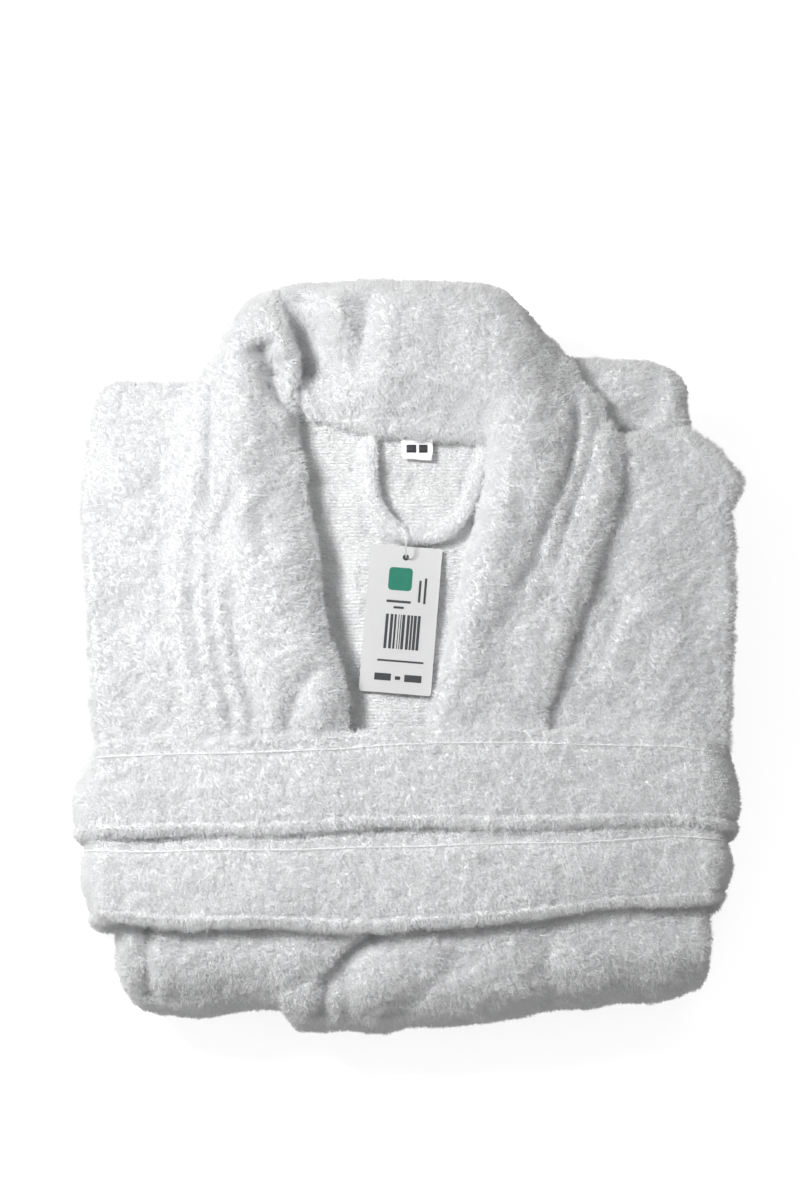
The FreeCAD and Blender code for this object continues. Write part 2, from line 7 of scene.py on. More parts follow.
import bpy
import numpy as np
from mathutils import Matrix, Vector


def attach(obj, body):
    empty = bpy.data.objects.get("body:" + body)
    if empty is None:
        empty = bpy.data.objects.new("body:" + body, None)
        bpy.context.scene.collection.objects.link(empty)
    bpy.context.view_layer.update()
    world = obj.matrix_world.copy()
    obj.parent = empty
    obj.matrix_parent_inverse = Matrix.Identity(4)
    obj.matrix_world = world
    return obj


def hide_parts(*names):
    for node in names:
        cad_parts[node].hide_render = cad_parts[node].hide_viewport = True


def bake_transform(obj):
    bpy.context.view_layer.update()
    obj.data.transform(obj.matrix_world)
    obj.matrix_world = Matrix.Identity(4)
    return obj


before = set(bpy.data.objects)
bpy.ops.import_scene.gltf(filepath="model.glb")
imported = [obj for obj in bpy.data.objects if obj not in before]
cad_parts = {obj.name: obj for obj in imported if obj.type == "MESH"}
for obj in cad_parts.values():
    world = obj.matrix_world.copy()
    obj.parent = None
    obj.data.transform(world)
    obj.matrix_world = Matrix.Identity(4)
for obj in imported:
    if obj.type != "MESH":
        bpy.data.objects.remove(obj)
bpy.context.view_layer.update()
SCENE = bpy.context.scene

# ------------------------------------------------------------------ camera and sight plane
ELEVATION = math.radians(80.0)
CAMERA_DISTANCE = 1700.0
LENS = 91.8
AIM = np.array([-3.3, 33.9, 70.0])
RIGHT = np.array([1.0, 0.0, 0.0])
FORWARD = np.array([0.0, math.cos(ELEVATION), -math.sin(ELEVATION)])
UP = np.array([0.0, math.sin(ELEVATION), math.cos(ELEVATION)])
EYE = AIM - FORWARD * CAMERA_DISTANCE

# Outlines and folds are drawn as they overlap in view: mm across and up on a plane
# square to the line of sight, this far from the camera and centred on that line.
SIGHT_PLANE = 1530.0


def seen(places, z):
    """Robe x, y where the sight lines through places on the sight plane reach height z."""
    places = np.asarray(places, float)
    rays = FORWARD + (np.outer(places[:, 0], RIGHT) + np.outer(places[:, 1], UP)) / SIGHT_PLANE
    reach = (z - EYE[2]) / rays[:, 2]
    return (EYE + rays * reach[:, None])[:, :2]


def seen_rows(table):
    """The same for rows (across, up, height, ...): x, y, height, ..."""
    table = np.array(table, float)
    table[:, :2] = seen(table[:, :2], table[:, 2])
    return table


# ------------------------------------------------------------------ shaping functions
def ease(a, b, x):
    """0 at a, 1 at b, smooth between."""
    t = np.clip((np.asarray(x, float) - a) / (b - a), 0, 1)
    return t * t * (3 - 2 * t)


def level(z):
    return lambda X: np.full(len(X), z)


class Waves:
    """Smooth repeatable noise: a sum of plane waves, mean 0, spread about 1."""

    def __init__(self, seed, shortest, longest, count=26):
        random = np.random.RandomState(seed)
        direction = random.normal(size=(count, 3))
        direction /= np.linalg.norm(direction, axis=1)[:, None]
        wavelength = shortest * (longest / shortest) ** random.rand(count)
        self.numbers = direction * (2 * math.pi / wavelength)[:, None]
        self.phases = random.rand(count) * 2 * math.pi
        self.scale = math.sqrt(2.0 / count)

    def __call__(self, points):
        out = np.zeros(len(points))
        for number, phase in zip(self.numbers, self.phases):
            out += np.sin(points @ number + phase)
        return out * self.scale


def dense(outline, gap, smooth):
    """Closed outline resampled evenly; columns after the first two ride along."""
    longest_tangent, tangent_ratio, tangent_share = 26.0, 1.3, 0.8
    n = len(outline)
    out = []
    for i in range(n):
        before, start = outline[i - 1], outline[i]
        end, after = outline[(i + 1) % n], outline[(i + 2) % n]
        run = np.linalg.norm(end[:2] - start[:2])
        room = max(run, 1e-6)
        # tangents are limited by the lengths of the runs beside them
        leave = (end - before) / max(np.linalg.norm(end[:2] - before[:2]), 1e-6) * run
        arrive = (after - start) / max(np.linalg.norm(after[:2] - start[:2]), 1e-6) * run
        first = tangent_ratio * np.linalg.norm(start[:2] - before[:2]) / room
        last = tangent_ratio * np.linalg.norm(after[:2] - end[:2]) / room
        leave = leave * min(1.0, first, longest_tangent / room)
        arrive = arrive * min(1.0, last, longest_tangent / room)
        steps = max(2, int(run / gap))
        for j in range(steps):
            t = j / steps
            straight = start + (end - start) * t
            if smooth:
                place = (
                    (2 * t**3 - 3 * t**2 + 1) * start
                    + (t**3 - 2 * t**2 + t) * leave * tangent_share
                    + (-2 * t**3 + 3 * t**2) * end
                    + (t**3 - t**2) * arrive * tangent_share
                )
                place[2:] = straight[2:]
            else:
                place = straight
            out.append(place)
    return np.array(out)


def nearest(line, X, closed=True):
    """Distance, nearest point, segment and place on the segment (0..1) for points X."""
    starts = line[:, :2]
    ends = np.roll(starts, -1, axis=0)
    if not closed:
        starts, ends = starts[:-1], ends[:-1]
    best = np.full(len(X), 1e18)
    point = np.zeros((len(X), 2))
    segment = np.zeros(len(X), int)
    part = np.zeros(len(X))
    for i in range(len(starts)):
        run = ends[i] - starts[i]
        t = np.clip(((X - starts[i]) @ run) / max(float(run @ run), 1e-12), 0, 1)
        place = starts[i] + t[:, None] * run
        gap = ((X - place) ** 2).sum(1)
        m = gap < best
        best[m], point[m], segment[m], part[m] = gap[m], place[m], i, t[m]
    return np.sqrt(best), point, segment, part


def inside(outline, X):
    corners = outline[:, :2]
    odd = np.zeros(len(X), bool)
    for (x0, y0), (x1, y1) in zip(corners, np.roll(corners, -1, axis=0)):
        if y0 != y1:
            spans = (y0 > X[:, 1]) != (y1 > X[:, 1])
            odd ^= spans & (X[:, 0] < (x1 - x0) * (X[:, 1] - y0) / (y1 - y0) + x0)
    return odd


def groove(run, rise, width, taper, power=2):
    """A fold along a run: rise up or down, fading over the taper share at each end."""
    run = np.asarray(run, float)
    length = np.concatenate([[0], np.cumsum(np.linalg.norm(np.diff(run, axis=0), axis=1))])

    def height(X):
        low, high = run.min(0) - 4 * width, run.max(0) + 4 * width
        out = np.zeros(len(X))
        m = ((X >= low) & (X <= high)).all(1)
        distance, _, segment, t = nearest(run, X[m], closed=False)
        along = (length[segment] + t * (length[segment + 1] - length[segment])) / length[-1]
        fade = ease(0, taper, along) * (1 - ease(1 - taper, 1, along))
        out[m] = rise * np.exp(-(distance / width) ** power) * fade
        return out

    return height


def seen_grooves(rows):
    """Rows are (rise, width, height, taper, run on the sight plane[, power])."""
    return [
        groove(seen(run, z), rise, width, taper, *power)
        for rise, width, z, taper, run, *power in rows
    ]


def total(features, X):
    return sum((feature(X) for feature in features), np.zeros(len(X)))


class Heights:
    """A smooth thin-plate surface near rows (across, up, height) on the sight plane."""

    RELAX = 0.005

    def __init__(self, rows):
        points = seen_rows(rows)
        self.centres = points[:, :2]
        n = len(points)
        kernel = self.kernel(self.centres) + np.eye(n) * self.RELAX
        plane = np.hstack([np.ones((n, 1)), self.centres / 100.0])
        matrix = np.block([[kernel, plane], [plane.T, np.zeros((3, 3))]])
        self.weights = np.linalg.solve(matrix, np.concatenate([points[:, 2], np.zeros(3)]))

    def kernel(self, X):
        d = np.linalg.norm(X[:, None] - self.centres[None], axis=2) / 100.0
        return np.where(d > 0, d * d * np.log(np.maximum(d, 1e-9)), 0)

    def __call__(self, X):
        out = np.zeros(len(X))
        batch = 20000  # keeps the distance table small
        for i in range(0, len(X), batch):
            x = X[i : i + batch]
            plane = self.weights[-3] + (x / 100.0) @ self.weights[-2:]
            out[i : i + batch] = self.kernel(x) @ self.weights[:-3] + plane
        return out


class Path:
    """A run in a plane made of straights and arcs, sampled every half mm."""

    STEP = 0.5

    def __init__(self, start):
        self.points = [np.array(start, float)]

    def line(self, to):
        a, b = self.points[-1], np.array(to, float)
        n = max(1, int(np.linalg.norm(b - a) / self.STEP))
        self.points += [a + (b - a) * i / n for i in range(1, n + 1)]
        return self

    def arc(self, centre, degrees):
        c = np.array(centre, float)
        v = self.points[-1] - c
        n = max(2, int(abs(math.radians(degrees)) * np.linalg.norm(v) / self.STEP))
        for i in range(1, n + 1):
            t = math.radians(degrees) * i / n
            cos, sin = math.cos(t), math.sin(t)
            self.points.append(c + np.array([v[0] * cos - v[1] * sin, v[0] * sin + v[1] * cos]))
        return self

    def done(self):
        self.points = np.array(self.points)
        steps = np.linalg.norm(np.diff(self.points, axis=0), axis=1)
        self.lengths = np.concatenate([[0], np.cumsum(steps)])
        t = np.gradient(self.points, self.lengths, axis=0)
        kernel = np.ones(7) / 7
        t = np.stack([np.convolve(np.pad(t[:, i], 3, "edge"), kernel, "valid") for i in (0, 1)], 1)
        self.tangents = t / np.linalg.norm(t, axis=1)[:, None]
        return self

    def at(self, s):
        """Places and outward normals at lengths s."""
        p, t = (
            np.stack([np.interp(s, self.lengths, v[:, i]) for i in (0, 1)], 1)
            for v in (self.points, self.tangents)
        )
        t /= np.linalg.norm(t, axis=1)[:, None]
        return p, np.stack([t[:, 1], -t[:, 0]], 1)


# ------------------------------------------------------------------ meshes
def new_mesh(name, co, faces, attributes=None):
    """Smooth-shaded mesh object; co in mm, faces an (n, 4) array or a list."""
    mesh = bpy.data.meshes.new(name)
    co = np.asarray(co, float) / 1000.0
    if isinstance(faces, np.ndarray):
        starts = np.arange(0, faces.size, faces.shape[1], dtype=np.int32)
        mesh.vertices.add(len(co))
        mesh.vertices.foreach_set("co", co.astype(np.float32).ravel())
        mesh.loops.add(faces.size)
        mesh.loops.foreach_set("vertex_index", faces.astype(np.int32).ravel())
        mesh.polygons.add(len(faces))
        mesh.polygons.foreach_set("loop_start", starts)
        mesh.update(calc_edges=True)
        mesh.validate()
    else:
        mesh.from_pydata(co.tolist(), [], faces)
    mesh.polygons.foreach_set("use_smooth", np.ones(len(mesh.polygons), bool))
    for key, value in (attributes or {}).items():
        attribute = mesh.attributes.new(key, "FLOAT", "POINT")
        attribute.data.foreach_set("value", np.asarray(value, np.float32))
    mesh.update()
    made = bpy.data.objects.new(name, mesh)
    SCENE.collection.objects.link(made)
    return made


def vertex_normals(co, faces):
    a, b, c, d = (co[faces[:, i]] for i in range(4))
    normals = np.cross(c - a, d - b)
    out = np.zeros_like(co)
    for i in range(4):
        for k in range(3):
            out[:, k] += np.bincount(faces[:, i], normals[:, k], len(co))
    return out / np.maximum(np.linalg.norm(out, axis=1), 1e-9)[:, None]


CLOTH_HALF = 4.5  # half the thickness of the robe cloth, and its usual edge radius


def bare(flat, co, side, d):
    return np.zeros(len(co)), np.zeros(len(co))


def sheet(name, outline, step, top, bottom, place=lambda c: c, relief=0.5, soft=0.0,
          pile=bare, seed=1, smooth=True, gap=2.5, waist=True, tuft=0.0):
    """A closed soft sheet over an outline of rows (x, y[, edge height, edge radius]).
    top and bottom give the two faces' heights; near the outline both round in to
    the edge height. place maps (x, y, height) to mm in the robe frame. soft, relief
    and tuft are the sizes of the slow, fine and finest unevenness. waist draws the
    sides in a little under the belt. pile gives thread density and length."""
    outline = np.asarray(outline, float)
    if outline.shape[1] == 2:
        edges = np.tile([0.0, CLOTH_HALF], (len(outline), 1))
        outline = np.hstack([outline, edges])
    line = dense(outline, gap, smooth)
    low, high = line[:, :2].min(0) - 2 * step, line[:, :2].max(0) + 2 * step
    xs = np.arange(low[0], high[0] + step, step)
    ys = np.arange(low[1], high[1] + step, step)
    X = np.stack([grid.ravel() for grid in np.meshgrid(xs, ys)], 1)
    d, point, segment, t = nearest(line, X)
    within = inside(line, X) & (d > step * 0.3)
    index = np.arange(len(X)).reshape(len(ys), len(xs))
    corners = [index[:-1, :-1], index[:-1, 1:], index[1:, 1:], index[1:, :-1]]
    cells = np.stack(corners, -1).reshape(-1, 4)
    cells = cells[within[cells].any(1)]
    used = np.zeros(len(X), bool)
    used[cells.ravel()] = True

    # grid points just outside are drawn onto the outline
    edge = used & ~within
    X[edge] = point[edge]
    d = np.where(within, d, 0.0)
    after = (segment + 1) % len(line)
    edge_z = line[segment, 2] * (1 - t) + line[after, 2] * t
    edge_radius = np.maximum(line[segment, 3] * (1 - t) + line[after, 3] * t, 0.5)
    keep = np.where(used)[0]
    renumber = np.full(len(X), -1)
    renumber[keep] = np.arange(len(keep))
    X, d, edge_z, edge_radius, edge = (v[keep] for v in (X, d, edge_z, edge_radius, edge))
    cells = renumber[cells]

    # the two faces share the edge points
    rounding = np.sqrt(np.clip(1 - (1 - np.clip(d / edge_radius, 0, 1)) ** 2, 0, 1))
    z_top = edge_z + (top(X) - edge_z) * rounding
    z_bottom = edge_z + (bottom(X) - edge_z) * rounding
    inner = np.where(~edge)[0]
    under = np.arange(len(X))
    under[inner] = len(X) + np.arange(len(inner))
    upper_face = np.column_stack([X, z_top])
    flat = np.concatenate([upper_face, np.column_stack([X[inner], z_bottom[inner]])])
    faces = np.concatenate([cells, under[cells][:, ::-1]])
    side = np.concatenate([np.where(edge, 0.0, 1.0), -np.ones(len(inner))])
    d = np.concatenate([d, d[inner]])
    co = np.array(place(flat))

    # the top face's normal must point the way height grows
    probe = cells[len(cells) // 2]
    foot, head = place(np.array([[*X[probe[0]], 0.0], [*X[probe[0]], 1.0]]))
    a, b, c = place(upper_face[probe])[:3]
    if np.cross(b - a, c - a) @ (head - foot) < 0:
        faces = faces[:, ::-1]
    normals = vertex_normals(co, faces)
    if soft:
        co = co + normals * (Waves(seed + 50, 26, 80)(co) * soft)[:, None]
    if relief:
        fine = Waves(seed + 90, 4.2, 9.0, 40)(co) * 0.55 + Waves(seed + 91, 9.0, 20.0, 24)(co) * 0.6
        if tuft:
            tufts = Waves(seed + 92, 3.1, 4.4, 48)(co)
            fine = fine + (tufts - 0.35 * tufts * tufts) * tuft / relief
        co = co + normals * (fine * relief)[:, None]
    if waist:
        x, y = co[:, 0], co[:, 1]
        pinch = 3.2 * ease(-52, -76, y) * ease(-212, -196, y)
        pinch += 4.4 * ease(-122, -136, y) * ease(-198, -186, y)
        co[:, 0] -= np.sign(x) * pinch * ease(136, 170, np.abs(x))
    co[:, 2] = np.maximum(co[:, 2], 0.15)
    density, length = pile(flat, co, side, d)
    return new_mesh(name, co, faces, {"den": density, "pile": length, "face": side})


# ------------------------------------------------------------------ materials
class Graph:
    """A node tree whose inputs are given as values or as sockets to link from."""

    def __init__(self, tree):
        self.tree = tree

    def fill(self, node, inputs):
        for key, value in inputs.items():
            if isinstance(value, bpy.types.NodeSocket):
                self.tree.links.new(value, node.inputs[key])
            else:
                node.inputs[key].default_value = value

    def add(self, kind, inputs={}, out=0, **settings):
        """Adds a node and returns one of its output sockets."""
        node = self.tree.nodes.new(kind)
        for key, value in settings.items():
            setattr(node, key, value)
        self.fill(node, inputs)
        return node.outputs[out]

    def coordinates(self):
        return self.add("ShaderNodeTexCoord", out="Object")

    def noise(self, vector, scale, out="Fac", **inputs):
        return self.add(
            "ShaderNodeTexNoise", {"Vector": vector, "Scale": scale, **inputs}, out=out
        )

    def ramp(self, factor, start, end, start_colour, end_colour):
        out = self.add("ShaderNodeValToRGB", {"Fac": factor}, out="Color")
        elements = out.node.color_ramp.elements
        elements[0].position, elements[1].position = start, end
        elements[0].color, elements[1].color = (*start_colour, 1), (*end_colour, 1)
        return out

    def bump(self, height, strength, distance):
        return self.add(
            "ShaderNodeBump", {"Strength": strength, "Distance": distance, "Height": height}
        )


def material(name):
    made = bpy.data.materials.new(name)
    made.use_nodes = True
    return made, Graph(made.node_tree), made.node_tree.nodes["Principled BSDF"]


def terry(name, light=(0.95, 0.952, 0.955), dark=(0.80, 0.803, 0.81),
          weave=0.0, loops=420.0, rise=0.0012):
    """Ground cloth under the pile: looped surface, sheen, painted shade darkening the hollows between
    loops, slow tone changes;
    weave adds the fine cross rows of a short-pile side."""
    made, graph, shader = material(name)
    at = graph.coordinates()
    cells = graph.add("ShaderNodeTexVoronoi", {"Scale": loops, "Vector": at}, out="Distance")
    slow = graph.noise(at, 60.0, Detail=6.0)
    # painted shade: the colour darkens away from each loop's middle, where the bump falls between
    # loops; slow noise adds tone changes
    shade = graph.add("ShaderNodeMath", {0: cells, 1: 0.55, 2: slow}, operation="MULTIPLY_ADD")
    height = graph.add("ShaderNodeMath", {0: 1.0, 1: cells}, operation="SUBTRACT")
    if weave:
        rows = graph.add(
            "ShaderNodeTexWave",
            {"Scale": 165.0, "Distortion": 1.2, "Detail": 2.0, "Vector": at},
            out="Fac", wave_type="BANDS", bands_direction="Y",
        )
        height = graph.add(
            "ShaderNodeMath", {0: rows, 1: weave, 2: height}, operation="MULTIPLY_ADD"
        )
    graph.fill(shader, {
        "Base Color": graph.ramp(shade, 0.45, 0.95, light, dark),
        "Roughness": 0.95,
        "Sheen Weight": 0.35,
        "Sheen Roughness": 0.6,
        "Specular IOR Level": 0.15,
        "Normal": graph.bump(height, strength=0.7, distance=rise),
    })
    return made


def fibre():
    """The pile's threads: darker at the root as painted shade, each a little different."""
    made, graph, shader = material("terry_pile")
    along = graph.add("ShaderNodeHairInfo", out="Intercept")
    # painted shade: each thread darkens towards its root, where the pile shades itself
    shaded_root_to_tip = graph.ramp(along, 0.0, 0.7, (0.90, 0.902, 0.907), (0.985, 0.986, 0.988))
    position = graph.add("ShaderNodeNewGeometry", out="Position")
    shade = graph.add("ShaderNodeMapRange", {
        "Value": graph.noise(position, 170.0, Detail=3.0),
        "From Min": 0.3, "From Max": 0.7,
        "To Min": 0.93, "To Max": 1.0,
    }, out="Result")
    colour = graph.add(
        "ShaderNodeMix", {"Factor": 1.0, "A": shaded_root_to_tip, "B": shade},
        out="Result", data_type="RGBA", blend_type="MULTIPLY",
    )
    graph.fill(shader, {
        "Base Color": colour,
        "Roughness": 0.85,
        "Specular IOR Level": 0.15,
        "Sheen Weight": 0.15,
    })
    # cotton threads let light through
    through = graph.add("ShaderNodeBsdfTranslucent", {"Color": colour})
    surface = graph.add("ShaderNodeMixShader", {0: 0.38, 1: shader.outputs[0], 2: through})
    output = next(n for n in graph.tree.nodes if n.type == "OUTPUT_MATERIAL")
    graph.fill(output, {"Surface": surface})
    return made


TERRY = terry("terry_ground")
TERRY_SHORT = terry("terry_short", weave=0.7, loops=520.0)
BELTING = terry("terry_belt_ground")
FIBRE = fibre()
THREADS = terry("sewing_thread", light=(0.92, 0.92, 0.922), dark=(0.85, 0.852, 0.857),
                loops=1400.0, rise=0.00008)

# ------------------------------------------------------------------ pile, in metres
PILE_DENSITY = 2.8e6   # threads per square metre
PILE_LENGTH = 0.0029
THREAD_RADIUS = 0.000145
PILE_TILT = 0.34       # random lean of each thread
PILE_CLUMP = 1.15      # shared lean of neighbouring threads
PILE_CLUMP_SCALE = 340.0
PILE_CURL = 0.32       # how far a thread's tip bends over, for its length


def pile_on(target, length, seed, lean):
    """Threads standing on target's faces, thickest where its 'den' attribute is 1
    and 'pile' long. They are drawn from the piece each time, so they follow it."""
    name = "pile_" + target.name
    group = bpy.data.node_groups.new(name, "GeometryNodeTree")
    for direction in ("INPUT", "OUTPUT"):
        group.interface.new_socket(
            "Geometry", in_out=direction, socket_type="NodeSocketGeometry"
        )
    graph = Graph(group)
    add = graph.add

    def attribute(key):
        return add("GeometryNodeInputNamedAttribute", {"Name": key},
                   out="Attribute", data_type="FLOAT")

    def vector(operation, inputs):
        return add("ShaderNodeVectorMath", inputs, operation=operation)

    surface = add("GeometryNodeObjectInfo", {"Object": target},
                  out="Geometry", transform_space="RELATIVE")
    density = add("ShaderNodeMath", {0: attribute("den"), 1: PILE_DENSITY}, operation="MULTIPLY")
    points = add("GeometryNodeDistributePointsOnFaces",
                 {"Seed": seed, "Mesh": surface, "Density": density},
                 out="Points", distribute_method="RANDOM")
    thread = add("GeometryNodeCurveQuadraticBezier", {
        "Resolution": 3,
        "Start": (0, 0, -0.12),
        "Middle": (0, 0, 0.6),
        "End": (PILE_CURL, 0, 1.0),
    })

    # each thread's direction: surface normal, clump lean and its own tilt
    position = add("GeometryNodeInputPosition")
    clumps = graph.noise(position, PILE_CLUMP_SCALE, out="Color", Detail=1.5)
    centred = vector("SUBTRACT", {0: clumps, 1: (0.5, 0.5, 0.5)})
    clump_lean = vector("SCALE", {0: centred, "Scale": PILE_CLUMP * 2})
    tilt = add("FunctionNodeRandomValue", {
        0: tuple(-PILE_TILT + v for v in lean),
        1: tuple(PILE_TILT + v for v in lean),
        "Seed": seed + 5,
    }, data_type="FLOAT_VECTOR")
    clumped = vector("ADD", {0: points.node.outputs["Normal"], 1: clump_lean})
    heading = vector("ADD", {0: clumped, 1: tilt})
    upright = add("FunctionNodeAlignRotationToVector", {"Vector": heading}, axis="Z")
    spin = add("FunctionNodeRandomValue", {2: 0, 3: 6.283, "Seed": seed + 9},
               out=1, data_type="FLOAT")
    euler = add("ShaderNodeCombineXYZ", {2: spin})
    spin_rotation = add("FunctionNodeEulerToRotation", {0: euler})
    rotation = add("FunctionNodeRotateRotation", {0: upright, 1: spin_rotation},
                   rotation_space="LOCAL")

    own_length = add("FunctionNodeRandomValue",
                     {2: length * 0.5, 3: length * 1.25, "Seed": seed + 3},
                     out=1, data_type="FLOAT")
    scale = add("ShaderNodeMath", {0: own_length, 1: attribute("pile")}, operation="MULTIPLY")
    threads = add("GeometryNodeInstanceOnPoints",
                  {"Points": points, "Instance": thread, "Rotation": rotation, "Scale": scale})
    curves = add("GeometryNodeRealizeInstances", {0: threads})
    radius = add("ShaderNodeMapRange", {
        "Value": add("GeometryNodeSplineParameter", out="Factor"),
        "To Min": THREAD_RADIUS,
        "To Max": THREAD_RADIUS * 0.5,
    }, out="Result")
    tapered = add("GeometryNodeSetCurveRadius", {"Curve": curves, "Radius": radius})
    painted = add("GeometryNodeSetMaterial", {"Material": FIBRE, 0: tapered})
    graph.fill(group.nodes.new("NodeGroupOutput"), {0: painted})

    data = bpy.data.hair_curves.new(name)
    data.materials.append(FIBRE)
    made = bpy.data.objects.new(name, data)
    SCENE.collection.objects.link(made)
    made.modifiers.new("pile", "NODES").node_group = group


def fit(made, mat, body, slot, *nodes):
    """Gives a piece its material, the body it rides and the nodes it stands for."""
    made.data.materials.append(mat)
    if body:
        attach(made, body)
    if nodes:
        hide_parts(*nodes)


def fit_cloth(made, body, nodes, seed, mat=TERRY, slot="terry", length=1.0,
              lean=(0.0, 0.0, 0.0)):
    fit(made, mat, body, slot, *nodes)
    pile_on(made, PILE_LENGTH * length, seed, lean)


# ------------------------------------------------------------------ collar and lapel outlines
# across, up on the sight plane, edge height, edge radius
COLLAR_OUTLINE = [
    (-66, 150, 62, 14), (-55, 154.5, 60, 20), (-45.5, 155.5, 58, 24), (-35, 155.5, 58, 26),
    (-10, 157, 58, 26), (-1, 156, 58, 26), (23, 156, 58, 26), (40, 155.5, 58, 24),
    (52, 152.5, 60, 22), (56.5, 149, 62, 20), (60.5, 144, 64, 18), (64.5, 139, 66, 16),
    (70.5, 131.5, 68, 14), (79.5, 124.5, 72, 12), (85.5, 118, 74, 10), (91, 110.5, 75, 9),
    (97, 103.5, 75.5, 9), (102, 95.5, 76, 9), (106, 88, 76.5, 9), (109.5, 81, 77, 9),
    (111, 74, 77, 9), (110.5, 65, 77, 9), (109, 54.5, 77, 9), (107, 44.5, 77, 9),
    (105, 35.5, 77, 9), (101.5, 26.5, 77, 9), (96.5, 14.5, 77, 8), (93, 2, 77, 8),
    (87, -15, 77, 8), (82, -27, 77, 7), (78.5, -39, 77, 6), (75, -51, 77, 5),
    (71.5, -65, 76.6, 3.5), (70.5, -69, 76.6, 3), (50, -69, 76.6, 3), (20, -69, 76.6, 3),
    (15, -68.5, 76.6, 4), (15, -61, 77, 7), (17, -52, 77.5, 9), (20.5, -40, 78, 10),
    (23, -30, 78, 11), (25.5, -18, 78, 11), (27.5, -5, 78, 12), (31.5, 7, 78, 12),
    (35, 23.5, 78, 13), (39, 36.5, 78, 13), (42, 51, 78, 13), (44, 64, 77, 12),
    (45.5, 74, 73, 8), (43, 79, 69, 5), (30, 80, 68, 4), (15, 80.5, 68, 4),
    (0, 82, 68, 4), (-10, 82.5, 68, 4), (-18, 85, 68, 4), (-30, 87.5, 68, 4),
    (-43, 90, 68, 4), (-50, 94, 68, 4), (-55, 102.5, 68, 6), (-59, 115, 68, 8),
    (-64, 127.5, 66, 10), (-69, 140, 64, 12),
]
LAPEL_OUTLINE = [
    (-58.5, 142, 77, 9), (-54, 130, 76, 10), (-51, 119.5, 75.5, 8), (-52, 109.5, 74.5, 7),
    (-54.5, 102, 74, 6), (-56, 96.5, 74, 6), (-55.5, 88.5, 74.5, 6), (-52, 76.5, 75, 7),
    (-48.5, 69, 75, 7), (-46.5, 57, 75.5, 8), (-45, 40, 76, 9), (-42.5, 21, 76.5, 10),
    (-40.5, 3.5, 77, 10), (-35.5, -16, 77, 10), (-30.5, -34, 77, 9), (-27.5, -47, 77, 8),
    (-26.5, -57, 77.5, 7), (-27, -68, 76.6, 4), (-27.5, -72, 76.6, 3), (-50, -72.5, 76.6, 3),
    (-80, -73, 76.6, 3), (-104, -73.5, 76.6, 3), (-107, -60, 76.6, 5), (-112, -40, 76.6, 6),
    (-116, -17.5, 76.6, 6), (-118.5, 18.5, 76.6, 6), (-120, 40, 76.6, 6),
    (-119.5, 75, 76.6, 6), (-114, 90, 76.6, 6), (-104, 106, 76, 7), (-94.5, 117.5, 74, 9),
    (-89.5, 124.5, 72, 10), (-87, 131, 70, 12), (-81.5, 140, 66, 14), (-75, 147.5, 63, 16),
    (-69.5, 151, 62, 18), (-64, 153, 64, 16), (-59, 150, 72, 12),
]
COVER = [seen(rows, 72.0) for rows in (COLLAR_OUTLINE, LAPEL_OUTLINE)]
COVER_INSET = 7.0


def is_covered(X):
    """True where the collar or a lapel lies over this place, well inside its outline."""
    out = np.zeros(len(X), bool)
    for outline in COVER:
        m = np.where(((X > outline.min(0)) & (X < outline.max(0))).all(1))[0]
        out[m] |= inside(outline, X[m]) & (nearest(outline, X[m])[0] > COVER_INSET)
    return out


# ------------------------------------------------------------------ folded lengths of cloth
class Folded:
    """Side view (y, z) of a length of cloth folded in three: along the top, round the
    lower end, back along the underside, round the upper end and down between."""

    def __init__(self, top_y, fold_y, turn_y, end_y, top_z, under_z, third_z):
        self.top_y, self.fold_y = top_y, fold_y
        self.radius = (top_z - under_z) / 2
        turn_radius = (third_z - under_z) / 2
        self.path = (
            Path((top_y, top_z))
            .line((fold_y, top_z)).arc((fold_y, (top_z + under_z) / 2), 180)
            .line((turn_y, under_z)).arc((turn_y, (under_z + third_z) / 2), 180)
            .line((end_y, third_z)).done()
        )
        # lengths along the path where each fold starts and ends
        self.fold = top_y - fold_y
        self.under = self.fold + math.pi * self.radius
        self.rear = self.under + (turn_y - fold_y)
        self.third = self.rear + math.pi * turn_radius
        self.end = self.path.lengths[-1]

    def place(self, c, squeeze, squeeze_start):
        """x, y, z of (x, length, height); squeeze thins the third layer."""
        p, m = self.path.at(c[:, 1])
        n = c[:, 2] * (1 - squeeze * ease(squeeze_start, self.third, c[:, 1]))
        return c[:, 0], p[:, 0] + m[:, 0] * n, p[:, 1] + m[:, 1] * n


FRONT = Folded(158.0, -173.0, 141.0, -168.0, top_z=69.5, under_z=10.8, third_z=33.0)
BACK = Folded(152.0, -173.3, 138.0, -158.0, top_z=59.5, under_z=20.5, third_z=28.0)


def slant_share(y):
    """How much of the lower fold's slant reaches y."""
    return 1 - ease(-206.0, -120.0, y)


def fold_shift(places):
    """Function of x that moves the front fold along y to the seen lower edge."""
    points = seen(places, 40.0)
    points = points[np.argsort(points[:, 0])]
    straight_edge = FRONT.fold_y - FRONT.radius - CLOTH_HALF
    return lambda x: np.interp(x, points[:, 0], points[:, 1] - straight_edge)


RIGHT_SHIFT = fold_shift([
    (-150, -170), (-146, -181), (-142.5, -192), (-136.5, -199), (-130, -203), (-116, -205),
    (-102.5, -205.5), (-89.5, -204), (-55.5, -203.5),
])
LEFT_SHIFT = fold_shift([
    (-54.5, -213), (-50, -215.5), (-27.5, -215), (-10, -214.5), (6.5, -212), (38.5, -210),
    (60.5, -206.5), (67.5, -205), (111, -199.5), (141.5, -196), (155, -194), (161, -186),
])


def front_place(shift):
    def place(c):
        x, y, z = FRONT.place(c, 0.55, FRONT.rear)
        return np.column_stack([x, y + shift(x) * slant_share(y), z])

    return place


def front_s(y):
    """Length along the front's path at y on the upper run."""
    return FRONT.top_y - y


